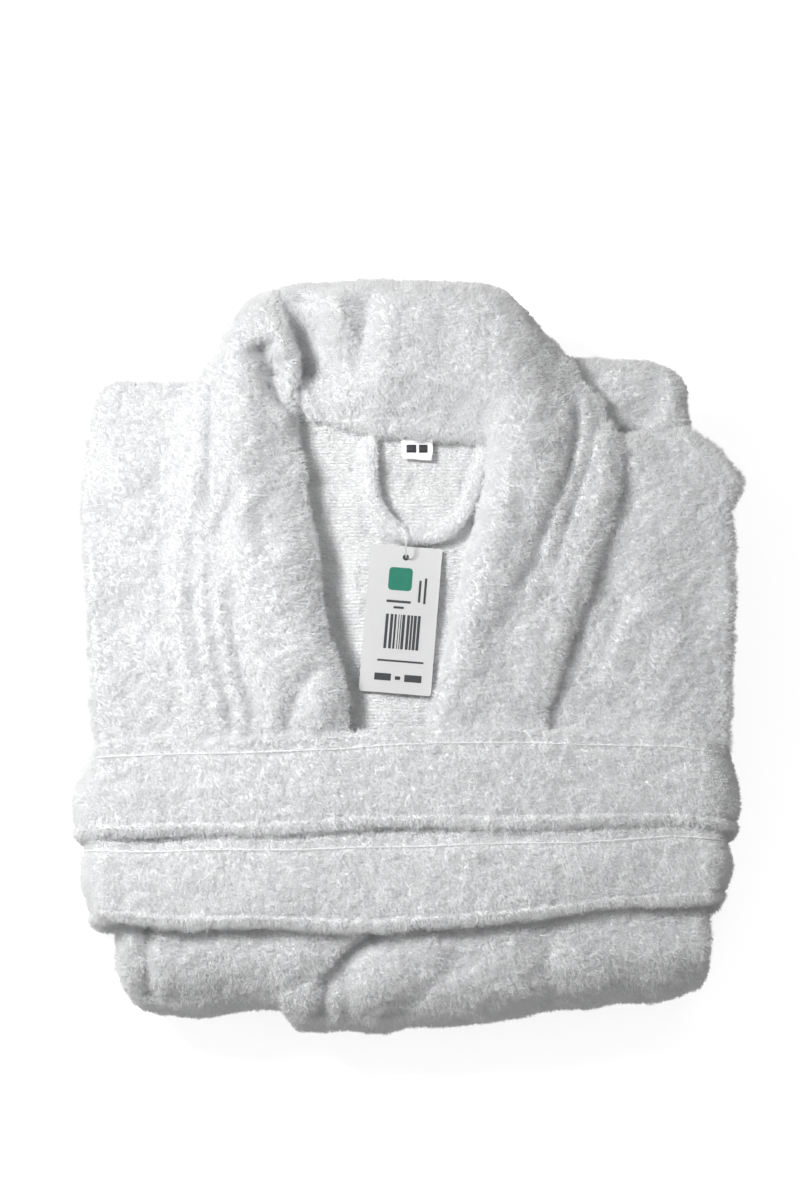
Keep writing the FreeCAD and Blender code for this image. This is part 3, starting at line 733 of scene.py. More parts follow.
def front_world(X, shift):
    """Where a place of the upper run comes to lie, the fold's slant included."""
    y = FRONT.top_y - X[:, 1]
    return np.column_stack([X[:, 0], y + shift(X[:, 0]) * slant_share(y)])


def along_front(points):
    return [(x, front_s(y)) for x, y in points]


def unslant(points, shift):
    """Places along the path for places seen on the robe."""
    out = []
    for x, y in points:
        straight = y
        for _ in range(12):
            straight = y - float(shift(np.array([x]))[0]) * float(slant_share(straight))
        out.append((x, front_s(straight)))
    return out


def front_pile(flat, co, side, d):
    s, x = flat[:, 1], co[:, 0]
    outer = side >= 0
    edge = np.abs(x) > 158
    den = np.where(outer, 1.0, 0.0)
    den = np.where((s > FRONT.rear) & ~edge, 0.0, den)
    den = np.where(d < 7, 1.0, den)
    den = np.where(edge, np.maximum(den, 0.7), den)
    den = np.where((s > FRONT.under) & (s < FRONT.rear) & outer, 0.6, den)
    covered = (s < FRONT.fold) & outer & (d > 7) & is_covered(co[:, :2])
    den = np.where(covered, 0.85, den)
    den = np.where((side < 0) & ~edge & (d > 7), 0.0, den)
    return den, np.where(covered, 0.9, 1.0)


def front_sheet(name, outline, top, bottom, shift, node, seed):
    made = sheet(name, outline, 2.0, top, bottom, front_place(shift), relief=0.55, soft=0.7,
                 pile=front_pile, seed=seed, tuft=0.22)
    fit_cloth(made, "robe", [node], seed=seed + 90)


# ------------------------------------------------------------------ right front, on top
# outer side edge, from its upper to its lower end, on the sight plane
SIDE_RIGHT_FRONT = [
    (-151, 100), (-154, 85), (-157.5, 65), (-158.5, 45), (-158, 30), (-157, 1.5),
    (-155.5, -19.5), (-153.5, -44.5), (-151.5, -70), (-151, -100), (-150, -130),
    (-147, -152.5), (-143, -162.5), (-143, -168), (-146, -176),
]
UPPER_RIGHT_FRONT = [(-147.5, 105.5), (-141, 108), (-125, 108.5), (-103, 109), (-87.5, 110)]
# the rounded inner corner where the front turns under
CORNER_RIGHT_FRONT = [
    (-13, -161), (-18, -167), (-25, -171.5), (-30, -175.5), (-35, -181), (-39.5, -186.5),
    (-44, -193),
]
RIGHT_FRONT_FOLDS = seen_grooves([
    (-0.9, 5.0, 76, 0.15, [(-108, 5), (-107, -10), (-105, -25), (-99, -50)]),
    (-5.0, 5.0, 76, 0.06, [(-126.5, -159), (-128, -172.5), (-128.5, -187.5), (-127.5, -205)]),
    (1.2, 6.0, 76, 0.1, [(-121, -160), (-122, -175), (-121, -192.5)]),
    (0.8, 16.0, 76, 0.15, [(-140, 100), (-130, 65), (-135, 20)]),
    (-0.8, 14.0, 76, 0.15, [(-145, -20), (-125, 0), (-115, 20)]),
    (1.0, 9.0, 76, 0.15, [(-50, -170), (-57.5, -182.5), (-58.5, -195)]),
])


def front_folds(folds, X, world):
    return np.where(X[:, 1] < FRONT.fold + 30, total(folds, world), 0)


def right_front_top(X):
    w = front_world(X, RIGHT_SHIFT)
    lap = ease(-80, -55, X[:, 0]) * (1 - ease(-70, -40, w[:, 1])) * (X[:, 1] < FRONT.under)
    crown = np.exp(-((w[:, 1] - 40) / 60) ** 2) * np.exp(-((X[:, 0] + 145) / 30) ** 2)
    return CLOTH_HALF + 1.6 * lap + 1.2 * crown + front_folds(RIGHT_FRONT_FOLDS, X, w)


def right_front_bottom(X):
    w = front_world(X, RIGHT_SHIFT)
    lap = ease(-98, -78, X[:, 0]) * (1 - ease(-64, -48, w[:, 1]))
    lap = lap * (1 - ease(FRONT.under, FRONT.under + 30, X[:, 1]))
    return -CLOTH_HALF + lap * 5.0


def build_right_front():
    """Outline in (x, length along the path)."""
    fold, under, rear, third, end = FRONT.fold, FRONT.under, FRONT.rear, FRONT.third, FRONT.end
    outline = along_front(seen(UPPER_RIGHT_FRONT, 69.5))
    outline += along_front([
        (-66.0, 157.0), (-60.0, 110.0), (-46.0, 20.0), (-38.0, -30.0), (-24.0, -60.0),
        (-18.0, -100.0),
    ])
    outline += unslant(seen(CORNER_RIGHT_FRONT, 71.0), RIGHT_SHIFT)
    outline += [
        (-58.0, fold + 18), (-64.0, fold + 46), (-62.0, under - 12), (-48.0, under + 20),
        (-20.0, under + 55), (-19.5, rear), (-20.0, third), (-20.0, end),
        (-168.0, end), (-170.0, third), (-171.5, rear - 10), (-170.0, under + 120),
        (-168.0, under + 10), (-163.0, fold + 46),
    ]
    outline += unslant(seen(SIDE_RIGHT_FRONT, 69.5)[::-1], RIGHT_SHIFT)
    front_sheet("right_front_cloth", outline, right_front_top, right_front_bottom,
                RIGHT_SHIFT, "right_front", seed=11)


build_right_front()

# ------------------------------------------------------------------ left front, underneath
SIDE_LEFT_FRONT = [
    (170.5, 58.5), (169.5, 54), (167, 48), (164.5, 44), (165.5, 34.5), (166.5, 24.5),
    (166, -10), (166, -40), (164.5, -67.5), (163.5, -100), (162, -130), (157.5, -150),
    (158, -157.5), (160.5, -170), (162, -177.5),
]
UPPER_LEFT_FRONT = [
    (109, 79.5), (115, 81.5), (133.5, 84), (143.5, 85), (149.5, 81.5), (155.5, 78),
    (160.5, 73), (163.5, 68), (168.5, 63),
]
LEFT_FRONT_FOLDS = seen_grooves([
    (-2.2, 4.5, 76, 0.15, [(111.5, 6), (108, -6), (104, -20), (98, -32), (90, -44)]),
    (1.5, 8.0, 76, 0.15, [(120, 0), (114, -15), (106, -30)]),
    (-0.9, 3.5, 76, 0.15, [(126, 70.5), (136, 71.5), (146.5, 71.5)]),
    (-1.1, 3.5, 76, 0.15, [(108, 42), (117, 43), (126.5, 46)]),
    (0.9, 12.0, 76, 0.15, [(145, 65), (130, 40), (125, 20), (134, -10)]),
    (-0.8, 12.0, 76, 0.15, [(150, 40), (153, 0), (152, -45)]),
    (0.8, 12.0, 76, 0.15, [(105, -50), (120, -45), (145, -50)]),
    (-4.6, 5.0, 76, 0.05, [(-8, -163), (-17, -170), (-26, -176.5), (-33, -183),
                           (-37.5, -191), (-40.5, -201), (-41.5, -215)]),
    (-2.2, 3.4, 76, 0.05, [(-37, -187.5), (-37, -200), (-36, -215)]),
    (-2.4, 6.0, 76, 0.15, [(36, -173), (21, -186), (4, -199), (-14, -212)]),
    (1.8, 8.0, 76, 0.2, [(23, -167), (2, -180), (-17, -194)]),
    (1.0, 10.0, 76, 0.2, [(60, -162.5), (50, -180), (52.5, -200)]),
    (-1.2, 9.0, 76, 0.2, [(110, -156), (120, -175), (116, -195)]),
    (-2.4, 3.6, 76, 0.05, [(-27, -184), (-27.5, -200), (-27, -217)]),
    (1.2, 4.0, 76, 0.05, [(-31.5, -177.5), (-32, -200), (-31.5, -217)]),
    (-1.4, 3.6, 76, 0.05, [(-17, -200), (-18.5, -208), (-20, -216)]),
    (-0.8, 3.5, 76, 0.15, [(8, -177.5), (8.5, -192.5)]),
    (-1.2, 3.8, 76, 0.05, [(76, -154), (74.5, -175), (75.5, -201.5)]),
    (0.8, 14.0, 76, 0.15, [(37.5, -157.5), (60, -175), (100, -180), (145, -175)]),
])


def left_front_top(X):
    w = front_world(X, LEFT_SHIFT)
    x, s = X.T
    # lowered where the right front laps over it
    low = (1 - ease(-34, -14, x)) * (1 - ease(-64, -48, w[:, 1]))
    low = low * (1 - ease(FRONT.under, FRONT.under + 30, s))
    low = low * (1 - 0.55 * ease(FRONT.fold - 6, FRONT.fold + 20, s) * (x > -66))
    crown = np.exp(-((w[:, 1] - 20) / 60) ** 2) * np.exp(-((x - 140) / 30) ** 2)
    return CLOTH_HALF - low * 4.7 + crown + front_folds(LEFT_FRONT_FOLDS, X, w)


def build_left_front():
    fold, under, rear, third, end = FRONT.fold, FRONT.under, FRONT.rear, FRONT.third, FRONT.end
    outline = along_front([(54.0, 150.0), (104.0, 146.0)])
    outline += along_front(seen(UPPER_LEFT_FRONT, 69.5))
    outline += unslant(seen(SIDE_LEFT_FRONT, 69.5), LEFT_SHIFT)
    outline += [
        (174.0, fold + 46), (172.0, under), (172.0, under + 100), (172.5, rear - 60),
        (166.0, rear - 28), (154.0, rear - 14), (153.0, third + 14), (166.0, third + 40),
        (169.0, third + 90), (168.0, end),
        (-17.5, end), (-18.0, third), (-18.0, rear), (-18.5, under + 58), (-47.0, under + 22),
        (-61.5, under - 10), (-63.5, fold + 46), (-70.0, fold + 12),
    ]
    outline += along_front([
        (-76.0, -140), (-76.0, -66), (-20.0, -52.0), (12.0, -44.0), (22.0, 0.0), (46.0, 100.0),
    ])
    front_sheet("left_front_cloth", outline, left_front_top, level(-CLOTH_HALF),
                LEFT_SHIFT, "left_front", seed=12)


build_left_front()

# ------------------------------------------------------------------ back panel
BACK_FOLDS = seen_grooves([
    (-1.4, 7.0, 66, 0.15, [(-35, 75), (-32, 40), (-27.5, 0), (-22, -50)]),
    (0.8, 6.0, 66, 0.15, [(-24, 65), (-25, 30), (-22, -10)]),
    (-1.0, 6.0, 66, 0.15, [(35, 30), (26, -10), (18, -40)]),
    (0.9, 6.0, 66, 0.15, [(-4, -50), (-6, -60), (-5, -67.5)]),
])


def back_place(c):
    x, y, z = BACK.place(c, 0.6, BACK.rear - 4)
    shift = np.interp(x, [-60, 20, 120, 172], [14, 4, 12, 24])
    shift = np.where(x < -60, RIGHT_SHIFT(x), shift)
    return np.column_stack([x, y + shift * (1 - ease(-196.0, -120.0, y)), z])


def back_top(X):
    w = np.column_stack([X[:, 0], BACK.top_y - X[:, 1]])
    return CLOTH_HALF + np.where(X[:, 1] < BACK.fold, total(BACK_FOLDS, w), 0)


def back_pile(flat, co, side, d):
    """Short pile in the open vee, shorter still around the size label."""
    x, y = co[:, 0], co[:, 1]
    edge = (np.abs(x) > 156) | (d < 7)
    vee = (flat[:, 1] < BACK.fold) & (np.abs(x + 5) < 62) & (y > -48) & (y < 130) & (side >= 0)
    den = np.where(vee, 1.15, np.where(edge, 0.7, 0.0))
    label = vee & (x > -4) & (x < 17) & (y > 108) & (y < 122)
    return den, np.where(label, 0.25, np.where(vee, 0.42, 1.0))


def build_back():
    fold, under, rear, third, end = BACK.fold, BACK.under, BACK.rear, BACK.third, BACK.end
    outline = [
        (-168.0, 4.0), (-160.0, 0.0), (86.0, 2.0), (100.0, 16.0), (112.0, 34.0), (148.0, 38.0),
        (164.0, 46.0), (170.0, 60.0), (172.0, 120.0), (172.5, 220.0), (171.5, fold),
        (170.5, under), (172.0, under + 140), (171.0, rear - 44), (160.0, rear - 24),
        (152.0, rear - 8), (152.0, third + 10), (168.0, third + 50), (169.0, end),
        (-169.0, end), (-170.0, third), (-171.0, rear), (-170.0, under + 100),
        (-167.0, under), (-166.0, fold), (-172.0, 250.0), (-173.0, 120.0), (-172.0, 40.0),
    ]
    made = sheet("back_panel_cloth", outline, 2.8, back_top, level(-CLOTH_HALF), back_place,
                 relief=0.4, soft=0.6, pile=back_pile, seed=13)
    fit_cloth(made, "robe", ["back_panel"], mat=TERRY_SHORT, seed=103)


build_back()


# ------------------------------------------------------------------ sleeves and cuffs
def side_pile(flat, co, side, d):
    x, y = co[:, 0], co[:, 1]
    return np.where((np.abs(x) > 150) | (d < 8) | (y > 118), 0.9, 0.0), np.ones(len(x))


# the part of the left sleeve that shows beyond the collar
SLEEVE_SHOULDER = [
    (70, 125), (85.5, 118), (98, 118), (112, 117), (123, 116.5), (131, 114.5), (138, 110.5),
    (141.5, 106.5), (142.5, 102), (141, 98.5), (142, 93), (143.5, 86), (146, 80),
]
SLEEVE_EDGE = seen([(125, 80)], 62.0)[0, 1]
SLEEVE_FOLDS = seen_grooves([
    (0.6, 5.0, 52, 0.15, [(85.5, 124), (110, 124), (145, 122)]),
    (-1.0, 6.0, 52, 0.15, [(120, 107.5), (127.5, 100), (125, 85)]),
    (0.8, 8.0, 52, 0.15, [(100, 110), (106, 100), (120, 90)]),
])


def left_sleeve_top(X):
    raised = ease(SLEEVE_EDGE - 5.0, SLEEVE_EDGE + 9.0, X[:, 1]) * ease(60, 80, X[:, 0])
    return 54.0 + 12.5 * raised + total(SLEEVE_FOLDS, X)


def build_sleeves():
    outline = [tuple(p) for p in seen(SLEEVE_SHOULDER, 50.0)] + [
        (168.0, 112.0), (171.0, 90.0), (172.0, 0.0), (170.5, -90.0), (168.0, -119.0),
        (-12.0, -119.0), (-14.0, 0.0), (-6.0, 100.0), (40.0, 150.0),
    ]
    outline = [
        (x, y, 54.5, 9.0) if y > 128.0 and x > 70 else (x, y, 49.6, 4.3) for x, y in outline
    ]
    made = sheet("left_sleeve_cloth", outline, 2.0, left_sleeve_top, level(45.2),
                 soft=0.8, pile=side_pile, seed=14, tuft=0.22)
    fit_cloth(made, "robe", ["left_sleeve"], seed=104)

    outline = [
        (-168.0, -119.0), (-171.0, -60.0), (-172.0, 40.0), (-171.0, 110.0), (-166.0, 140.0),
        (-150.0, 148.0), (-60.0, 142.0), (8.0, 104.0), (12.0, 0.0), (12.0, -119.0),
    ]
    made = sheet("right_sleeve_cloth", [(x, y, 40.2, 4.2) for x, y in outline], 3.2,
                 level(44.5), level(36.0), soft=0.8, pile=side_pile, seed=15)
    fit_cloth(made, "robe", ["right_sleeve"], seed=105)


def build_cuff(side, x0, x1, z, seed):
    """A flat cuff with three sunken rows across each face."""
    rows = [groove([(-175, y), (175, y)], -0.7, 1.6, taper=0.01) for y in (-124.5, -129.0, -164.5)]
    corners = [
        (x0, -119.5), (x1, -119.5), (x1 - 1, -145.0), (x1, -169.5), (x0, -169.5),
        (x0 + 1, -145.0),
    ]
    made = sheet(f"{side}_cuff_cloth", [(x, y, z, 4.2) for x, y in corners], 3.0,
                 lambda X: z + 4.3 + total(rows, X), lambda X: z - 4.3 - total(rows, X),
                 soft=0.4, pile=side_pile, seed=seed, smooth=False)
    fit_cloth(made, "robe", [f"{side}_cuff"], seed=100 + seed)


build_sleeves()
build_cuff("left", -13.0, 167.0, 49.6, seed=16)
build_cuff("right", -167.0, 13.0, 40.2, seed=17)


# ------------------------------------------------------------------ pockets and belt loops, underneath
def under_pile(flat, co, side, d):
    den = np.where(co[:, 2] < 3.2, 0.45, 0.9)
    den = np.where((side > 0) & (d > 6), 0.0, den)
    return den, np.full(len(co), 0.75)


def build_pocket(side, x0, seed):
    """A patch pocket with raised rows along its mouth, sides and other end."""
    rows = [groove([(x0 - 5, y), (x0 + 145, y)], 0.7, 1.5, taper=0.01) for y in (-12.0, -4.0)]
    rows += [
        groove([(x0 + a, -25.0), (x0 + a, 125.0)], 0.6, 1.4, taper=0.02) for a in (5.0, 133.0)
    ]
    rows += [groove([(x0 + 4, 125.0), (x0 + 134, 125.0)], 0.6, 1.4, taper=0.02)]
    corners = [(0, -30.0), (138, -30.0), (138, 120.0), (130, 130.0), (8, 130.0), (0, 120.0)]
    made = sheet(f"{side}_pocket_cloth", [(x0 + x, y, 3.2, 2.4) for x, y in corners], 2.8,
                 level(5.8), lambda X: 0.7 + total(rows, X), relief=0.25,
                 pile=under_pile, seed=seed, smooth=False)
    fit_cloth(made, "robe", [f"{side}_pocket"], seed=100 + seed, length=0.8)


def build_belt_loop(side, x0, seed):
    """A narrow strap, flattened at the middle of its length."""
    def middle(X):
        return np.exp(-((X[:, 1] - 3) / 22) ** 4)

    corners = [(-5, -28.0), (5, -28.0), (5.3, 3.0), (5, 34.0), (-5, 34.0), (-5.3, 3.0)]
    made = sheet(f"{side}_belt_loop_cloth", [(x0 + x, y, 4.0, 1.6) for x, y in corners], 1.2,
                 lambda X: 6.0 - 1.6 * middle(X), lambda X: 3.4 - 1.0 * middle(X),
                 relief=0.15, pile=under_pile, seed=seed, smooth=False)
    fit_cloth(made, "robe", [f"{side}_belt_loop"], seed=100 + seed, length=0.5)


build_pocket("right", -150.0, seed=18)
build_pocket("left", 12.0, seed=19)
build_belt_loop("right", -167.5, seed=20)
build_belt_loop("left", 167.5, seed=21)

# ------------------------------------------------------------------ belt
BELT_SIDE = 176.8        # x of the belt's middle at the robe's sides
BELT_TOP, BELT_LOW = 79.4, 3.0
BELT_CORNER = 15.0       # radius at the robe's corners
BELT_START = 161.0
BELT_HALF_WIDTH = 25.0


def turn_over(path):
    """Up the left side, over the top and down the right side."""
    inner = BELT_SIDE - BELT_CORNER
    low, high = BELT_LOW + BELT_CORNER, BELT_TOP - BELT_CORNER
    path.arc((inner, low), 90).line((BELT_SIDE, high)).arc((inner, high), 90)
    path.line((-inner, BELT_TOP)).arc((-inner, high), 90)
    path.line((-BELT_SIDE, low)).arc((-inner, low), 90)


belt_path = Path((BELT_START, BELT_LOW)).line((BELT_SIDE - BELT_CORNER, BELT_LOW))
turn_over(belt_path)
first_turn = len(belt_path.points) - 1
belt_path.line((BELT_SIDE - BELT_CORNER, BELT_LOW))
second_turn = len(belt_path.points) - 1
turn_over(belt_path)
belt_path.line((-BELT_START, BELT_LOW)).done()
S_CROSS, S_SECOND = belt_path.lengths[[first_turn, second_turn]]
S_BELT_END = belt_path.lengths[-1]

# upper and lower edges of the first turn, then of the second, on the sight plane
FIRST_UPPER, FIRST_LOWER, SECOND_UPPER, SECOND_LOWER = (seen(edge, 80.0) for edge in (
    [(-170, -75), (-150.5, -72), (-101, -70.5), (-55, -69), (-29, -68), (-10, -66),
     (20, -64.5), (60, -64.5), (100, -65.5), (140, -67.5), (162.5, -70.5), (172.5, -73)],
    [(-170, -116), (-148, -117), (-91, -117), (-21, -114), (15, -113), (87, -112.5),
     (135.5, -111.5), (167, -114.5), (172.5, -116)],
    [(-170, -119), (-148, -119.5), (-91, -118.5), (-55, -118), (-21, -117), (15, -116.5),
     (87, -115.5), (135.5, -112.5), (167, -116), (172.5, -118)],
    [(-170, -157), (-148, -160), (-120, -162), (-75, -163), (-10, -164.5), (26.5, -162.5),
     (75, -157.5), (111, -152.5), (135.5, -150.5), (157, -148.5), (172.5, -146)],
))


def belt_band(s, x):
    """y of the band's upper and lower edge at a place on the path."""
    w = np.clip((s - S_CROSS) / (S_SECOND - S_CROSS), 0, 1)
    w = w * w * (3 - 2 * w) * 0.3 + w * 0.7
    return [
        np.interp(x, *first.T) * (1 - w) + np.interp(x, *second.T) * w
        for first, second in ((FIRST_UPPER, SECOND_UPPER), (FIRST_LOWER, SECOND_LOWER))
    ]


belt_slack = Waves(78, 40, 120, 18)
belt_wave = Waves(77, 30, 90, 20)


def belt_place(c):
    s, v, n = c.T
    p, m = belt_path.at(s)
    upper_edge, lower_edge = belt_band(s, p[:, 0])
    q = np.column_stack([s, np.where(v > 0, 300.0, 0.0), np.zeros(len(s))])
    y = lower_edge + (upper_edge - lower_edge) * (v / 50.0 + 0.5)
    y = y + belt_slack(q) * 0.9 * np.abs(v / BELT_HALF_WIDTH) ** 3
    top = ease(50, 74, p[:, 1])
    first = s < S_SECOND - 60
    # slack: the band rises over the lapels in the middle and sags between
    over_right = 2.2 * np.exp(-((p[:, 0] + 78) / 46) ** 2)
    over_left = 1.6 * np.exp(-((p[:, 0] - 45) / 40) ** 2)
    lift = top * (over_right + over_left + 0.6)
    sag = (~first) * top * ease(12, 25, v)
    lift = lift - sag * (1.2 + 1.1 * np.sin(p[:, 0] / 31.0 + 0.8))
    # at the sides the two turns tuck in where they meet
    side = np.abs(m[:, 0]) ** 1.5 * ease(6, 22, p[:, 1])
    at_right = p[:, 0] < 0
    tuck = np.where(first, np.where(at_right, 11.0, 6.0) * ease(-12, 25, v),
                    np.where(at_right, 10.0, 6.0) * ease(2, -25, v))
    bulge = 1.6 * np.cos(np.clip(v / BELT_HALF_WIDTH, -1, 1) * math.pi / 2)
    bulge = bulge - np.where(first, 0.0, 5.6)
    x = p[:, 0] + m[:, 0] * n
    x = x + np.sign(p[:, 0]) * side * (bulge - 0.55 * tuck * top - 0.25 * tuck)
    z = p[:, 1] + m[:, 1] * n + lift
    # low places press against the table
    z = np.where(z < 1.5, 0.9 + 0.6 * np.exp((np.minimum(z, 1.5) - 1.5) / 0.9), z)
    return np.column_stack([x, y, z])


BELT_SEAM = 17.2
# lengthwise rows: place across the band, rise, width
belt_rows = [
    groove([(-5, v), (S_BELT_END + 5, v)], rise, width, taper=0.001)
    for v, rise, width in (
        (20.6, -1.0, 2.6), (BELT_SEAM, 1.0, 1.1), (-19.2, -1.2, 1.5),
        (-22.3, 1.1, 2.2), (0.0, 0.5, 9.0),
    )
]


def belt_top(X):
    return 3.1 + total(belt_rows, X) + 0.5 * belt_wave(np.column_stack([X, np.zeros(len(X))]))


def belt_bottom(X):
    wave = belt_wave(np.column_stack([X, np.zeros(len(X))]))
    return -3.0 - 0.4 * total(belt_rows, X) + 0.3 * wave


def belt_pile(flat, co, side, d):
    v = flat[:, 1]
    den = np.where(side >= 0, 1.0, 0.0)
    den = np.where(d < 3.5, 1.3, den)
    den = np.where((co[:, 2] < 3.0) & (np.abs(co[:, 0]) < 165), den * 0.5, den)
    row = 0.9 * np.exp(-((v - BELT_SEAM) / 1.2) ** 2) + 0.7 * np.exp(-((v + 19.2) / 1.6) ** 2)
    return den, (1.0 - 0.75 * np.clip(row, 0, 1)) * (1 + 0.15 * (v < -20))


def build_belt():
    half = BELT_HALF_WIDTH
    corners = [(0.0, -half), (S_BELT_END, -half), (S_BELT_END, half), (0.0, half)]
    made = sheet("belt_cloth", [(s, v, 0, 2.9) for s, v in corners], 1.6, belt_top,
                 belt_bottom, belt_place, relief=0.45, pile=belt_pile, seed=22,
                 smooth=False, waist=False, tuft=0.22)
    fit_cloth(made, "belt", ["belt"], mat=BELTING, slot="terry_belt", seed=122, length=0.95,
              lean=(0.0, -0.4, 0.0))


def build_belt_stitches():
    """A row of stitches as one thread that swells over each stitch and dips between."""
    radius, stitch, sides = 0.45, 3.4, 7
    s = np.arange(2.0, S_BELT_END - 2.0, 0.8)
    line = np.column_stack([s, np.full(len(s), BELT_SEAM)])
    line = np.column_stack([line, belt_top(line) + 0.3])
    middle = belt_place(line)
    tangent = np.gradient(middle, axis=0)
    tangent /= np.linalg.norm(tangent, axis=1)[:, None]
    up = belt_place(line + [0, 0, 1.0]) - middle
    up -= tangent * (up * tangent).sum(1)[:, None]
    up /= np.linalg.norm(up, axis=1)[:, None]
    across = np.cross(tangent, up)
    beat = np.abs(np.sin(math.pi * s / stitch)) ** 0.6
    radii = (radius * (0.45 + 0.55 * beat))[:, None, None]
    middle = middle + up * (0.45 * beat)[:, None]
    angle = (np.arange(sides) * 2 * math.pi / sides)[None, :, None]
    ring = np.cos(angle) * across[:, None] + 0.8 * np.sin(angle) * up[:, None]
    co = np.concatenate([(middle[:, None] + radii * ring).reshape(-1, 3), middle[[0, -1]]])
    co[:, 2] = np.maximum(co[:, 2], 0.2)
    n = len(middle)
    starts = np.arange(n - 1) * sides
    faces = []
    for j in range(sides):
        a, b = starts + j, starts + (j + 1) % sides
        faces.append(np.column_stack([a, b, b + sides, a + sides]))
    faces = np.concatenate(faces)
    first, last = sides * n, (n - 1) * sides
    ends = [(first, (j + 1) % sides, j) for j in range(sides)]
    ends += [(first + 1, last + j, last + (j + 1) % sides) for j in range(sides)]
    q = faces[0]
    normal = np.cross(co[q[1]] - co[q[0]], co[q[3]] - co[q[0]])
    if normal @ (co[q].mean(0) - middle[0]) < 0:
        faces = faces[:, ::-1]
        ends = [end[::-1] for end in ends]
    made = new_mesh("belt_seam_stitches", co, faces.tolist() + ends)
    fit(made, THREADS, "belt", "terry_belt")


build_belt()
build_belt_stitches()

# ------------------------------------------------------------------ collar and lapels
# roll lines down the two sides of the vee
VEE_RIGHT = seen([(-58.5, 142), (-27, -67.5)], 76.0)[::-1]
VEE_LEFT = seen([(62.5, 130), (14, -67.5)], 76.0)[::-1]


def in_vee(X):
    """1 between the two roll lines, 0 outside them, over 8 mm."""
    low, high = (np.interp(X[:, 1], v[:, 1], v[:, 0]) for v in (VEE_RIGHT, VEE_LEFT))
    return ease(-2, 6, X[:, 0] - low) * ease(-2, 6, high - X[:, 0])


def lapel_underside(hollow, end_z, end_y):
    """Underside that lifts off less in the vee and drops to end_z at the neck end."""
    def bottom(X):
        base = 75.4 - hollow * in_vee(X)
        return base + (end_z - base) * ease(157.0, end_y, X[:, 1])

    return bottom


def shawl_pile(flat, co, side, d):
    x, y = co[:, 0], co[:, 1]
    den = np.where((side >= 0) | (d < 7), 1.0, 0.0)
    den = np.where((side < 0) & (y > 155), 0.8, den)
    seam = (y > 118) & (y < 134) & (x > -58) & (x < 50) & (d < 6)
    return den, np.where(seam, 1.05, 1.0)


# across, up, height of the upper face
COLLAR_HEIGHTS = Heights([
    (-50, 94, 69), (-43, 100, 68), (-42, 115, 68), (-44, 127.5, 70), (-38, 127.5, 76),
    (-47, 137.5, 74), (-50, 147.5, 80), (-57.5, 150, 80), (-67.5, 144, 78), (-65, 130, 74),
    (-30, 97.5, 70), (-30, 115, 74.5), (-31, 127.5, 80), (-30, 141, 87), (-30, 150, 91),
    (-37, 115, 69), (-24, 107.5, 77), (-19, 125, 84), (-17, 140, 87), (-16, 150, 90),
    (-12.5, 92.5, 74), (-10, 110, 84), (-7.5, 127.5, 92), (-5, 145, 95), (0, 90, 74),
    (5, 107.5, 84), (7.5, 127.5, 93), (10, 146, 95), (25, 89, 75), (25, 107.5, 86),
    (27.5, 127.5, 93), (30, 146, 94), (42, 85, 78), (45, 102.5, 89), (47.5, 125, 95),
    (47.5, 142.5, 93), (57.5, 127.5, 94), (66.5, 121, 90), (75, 114.5, 82.5), (83, 108, 78.5),
    (55, 85, 92), (50, 67.5, 91), (65, 100, 93), (73, 99, 89), (80, 98, 84), (84, 96, 80.5),
    (91, 94, 79), (70, 80, 92), (80, 77.5, 86.5), (89, 76, 82.5), (100, 80, 81),
    (106, 65, 80.5), (102.5, 65, 82), (96, 50, 83), (86, 50, 83), (76, 50, 86), (65, 50, 91),
    (55, 50, 92), (49, 45, 91), (45, 20, 91), (52.5, 20, 90.5), (60, 20, 88), (69, 20, 84),
    (80, 20, 83.5), (96, 25, 82), (39, -5, 89), (47.5, -5, 88), (57, -5, 84),
    (70, -7.5, 83.5), (86.5, -6, 81.5), (33, -30, 87), (41, -27.5, 85.5), (50, -30, 82.5),
    (65, -32.5, 82.5), (75, -32.5, 81), (26, -52.5, 83), (40, -55, 81), (55, -57.5, 80.5),
    (67.5, -56, 79.5), (22.5, -67.5, 79), (45, -68.5, 78.6), (67.5, -68.5, 78),
])
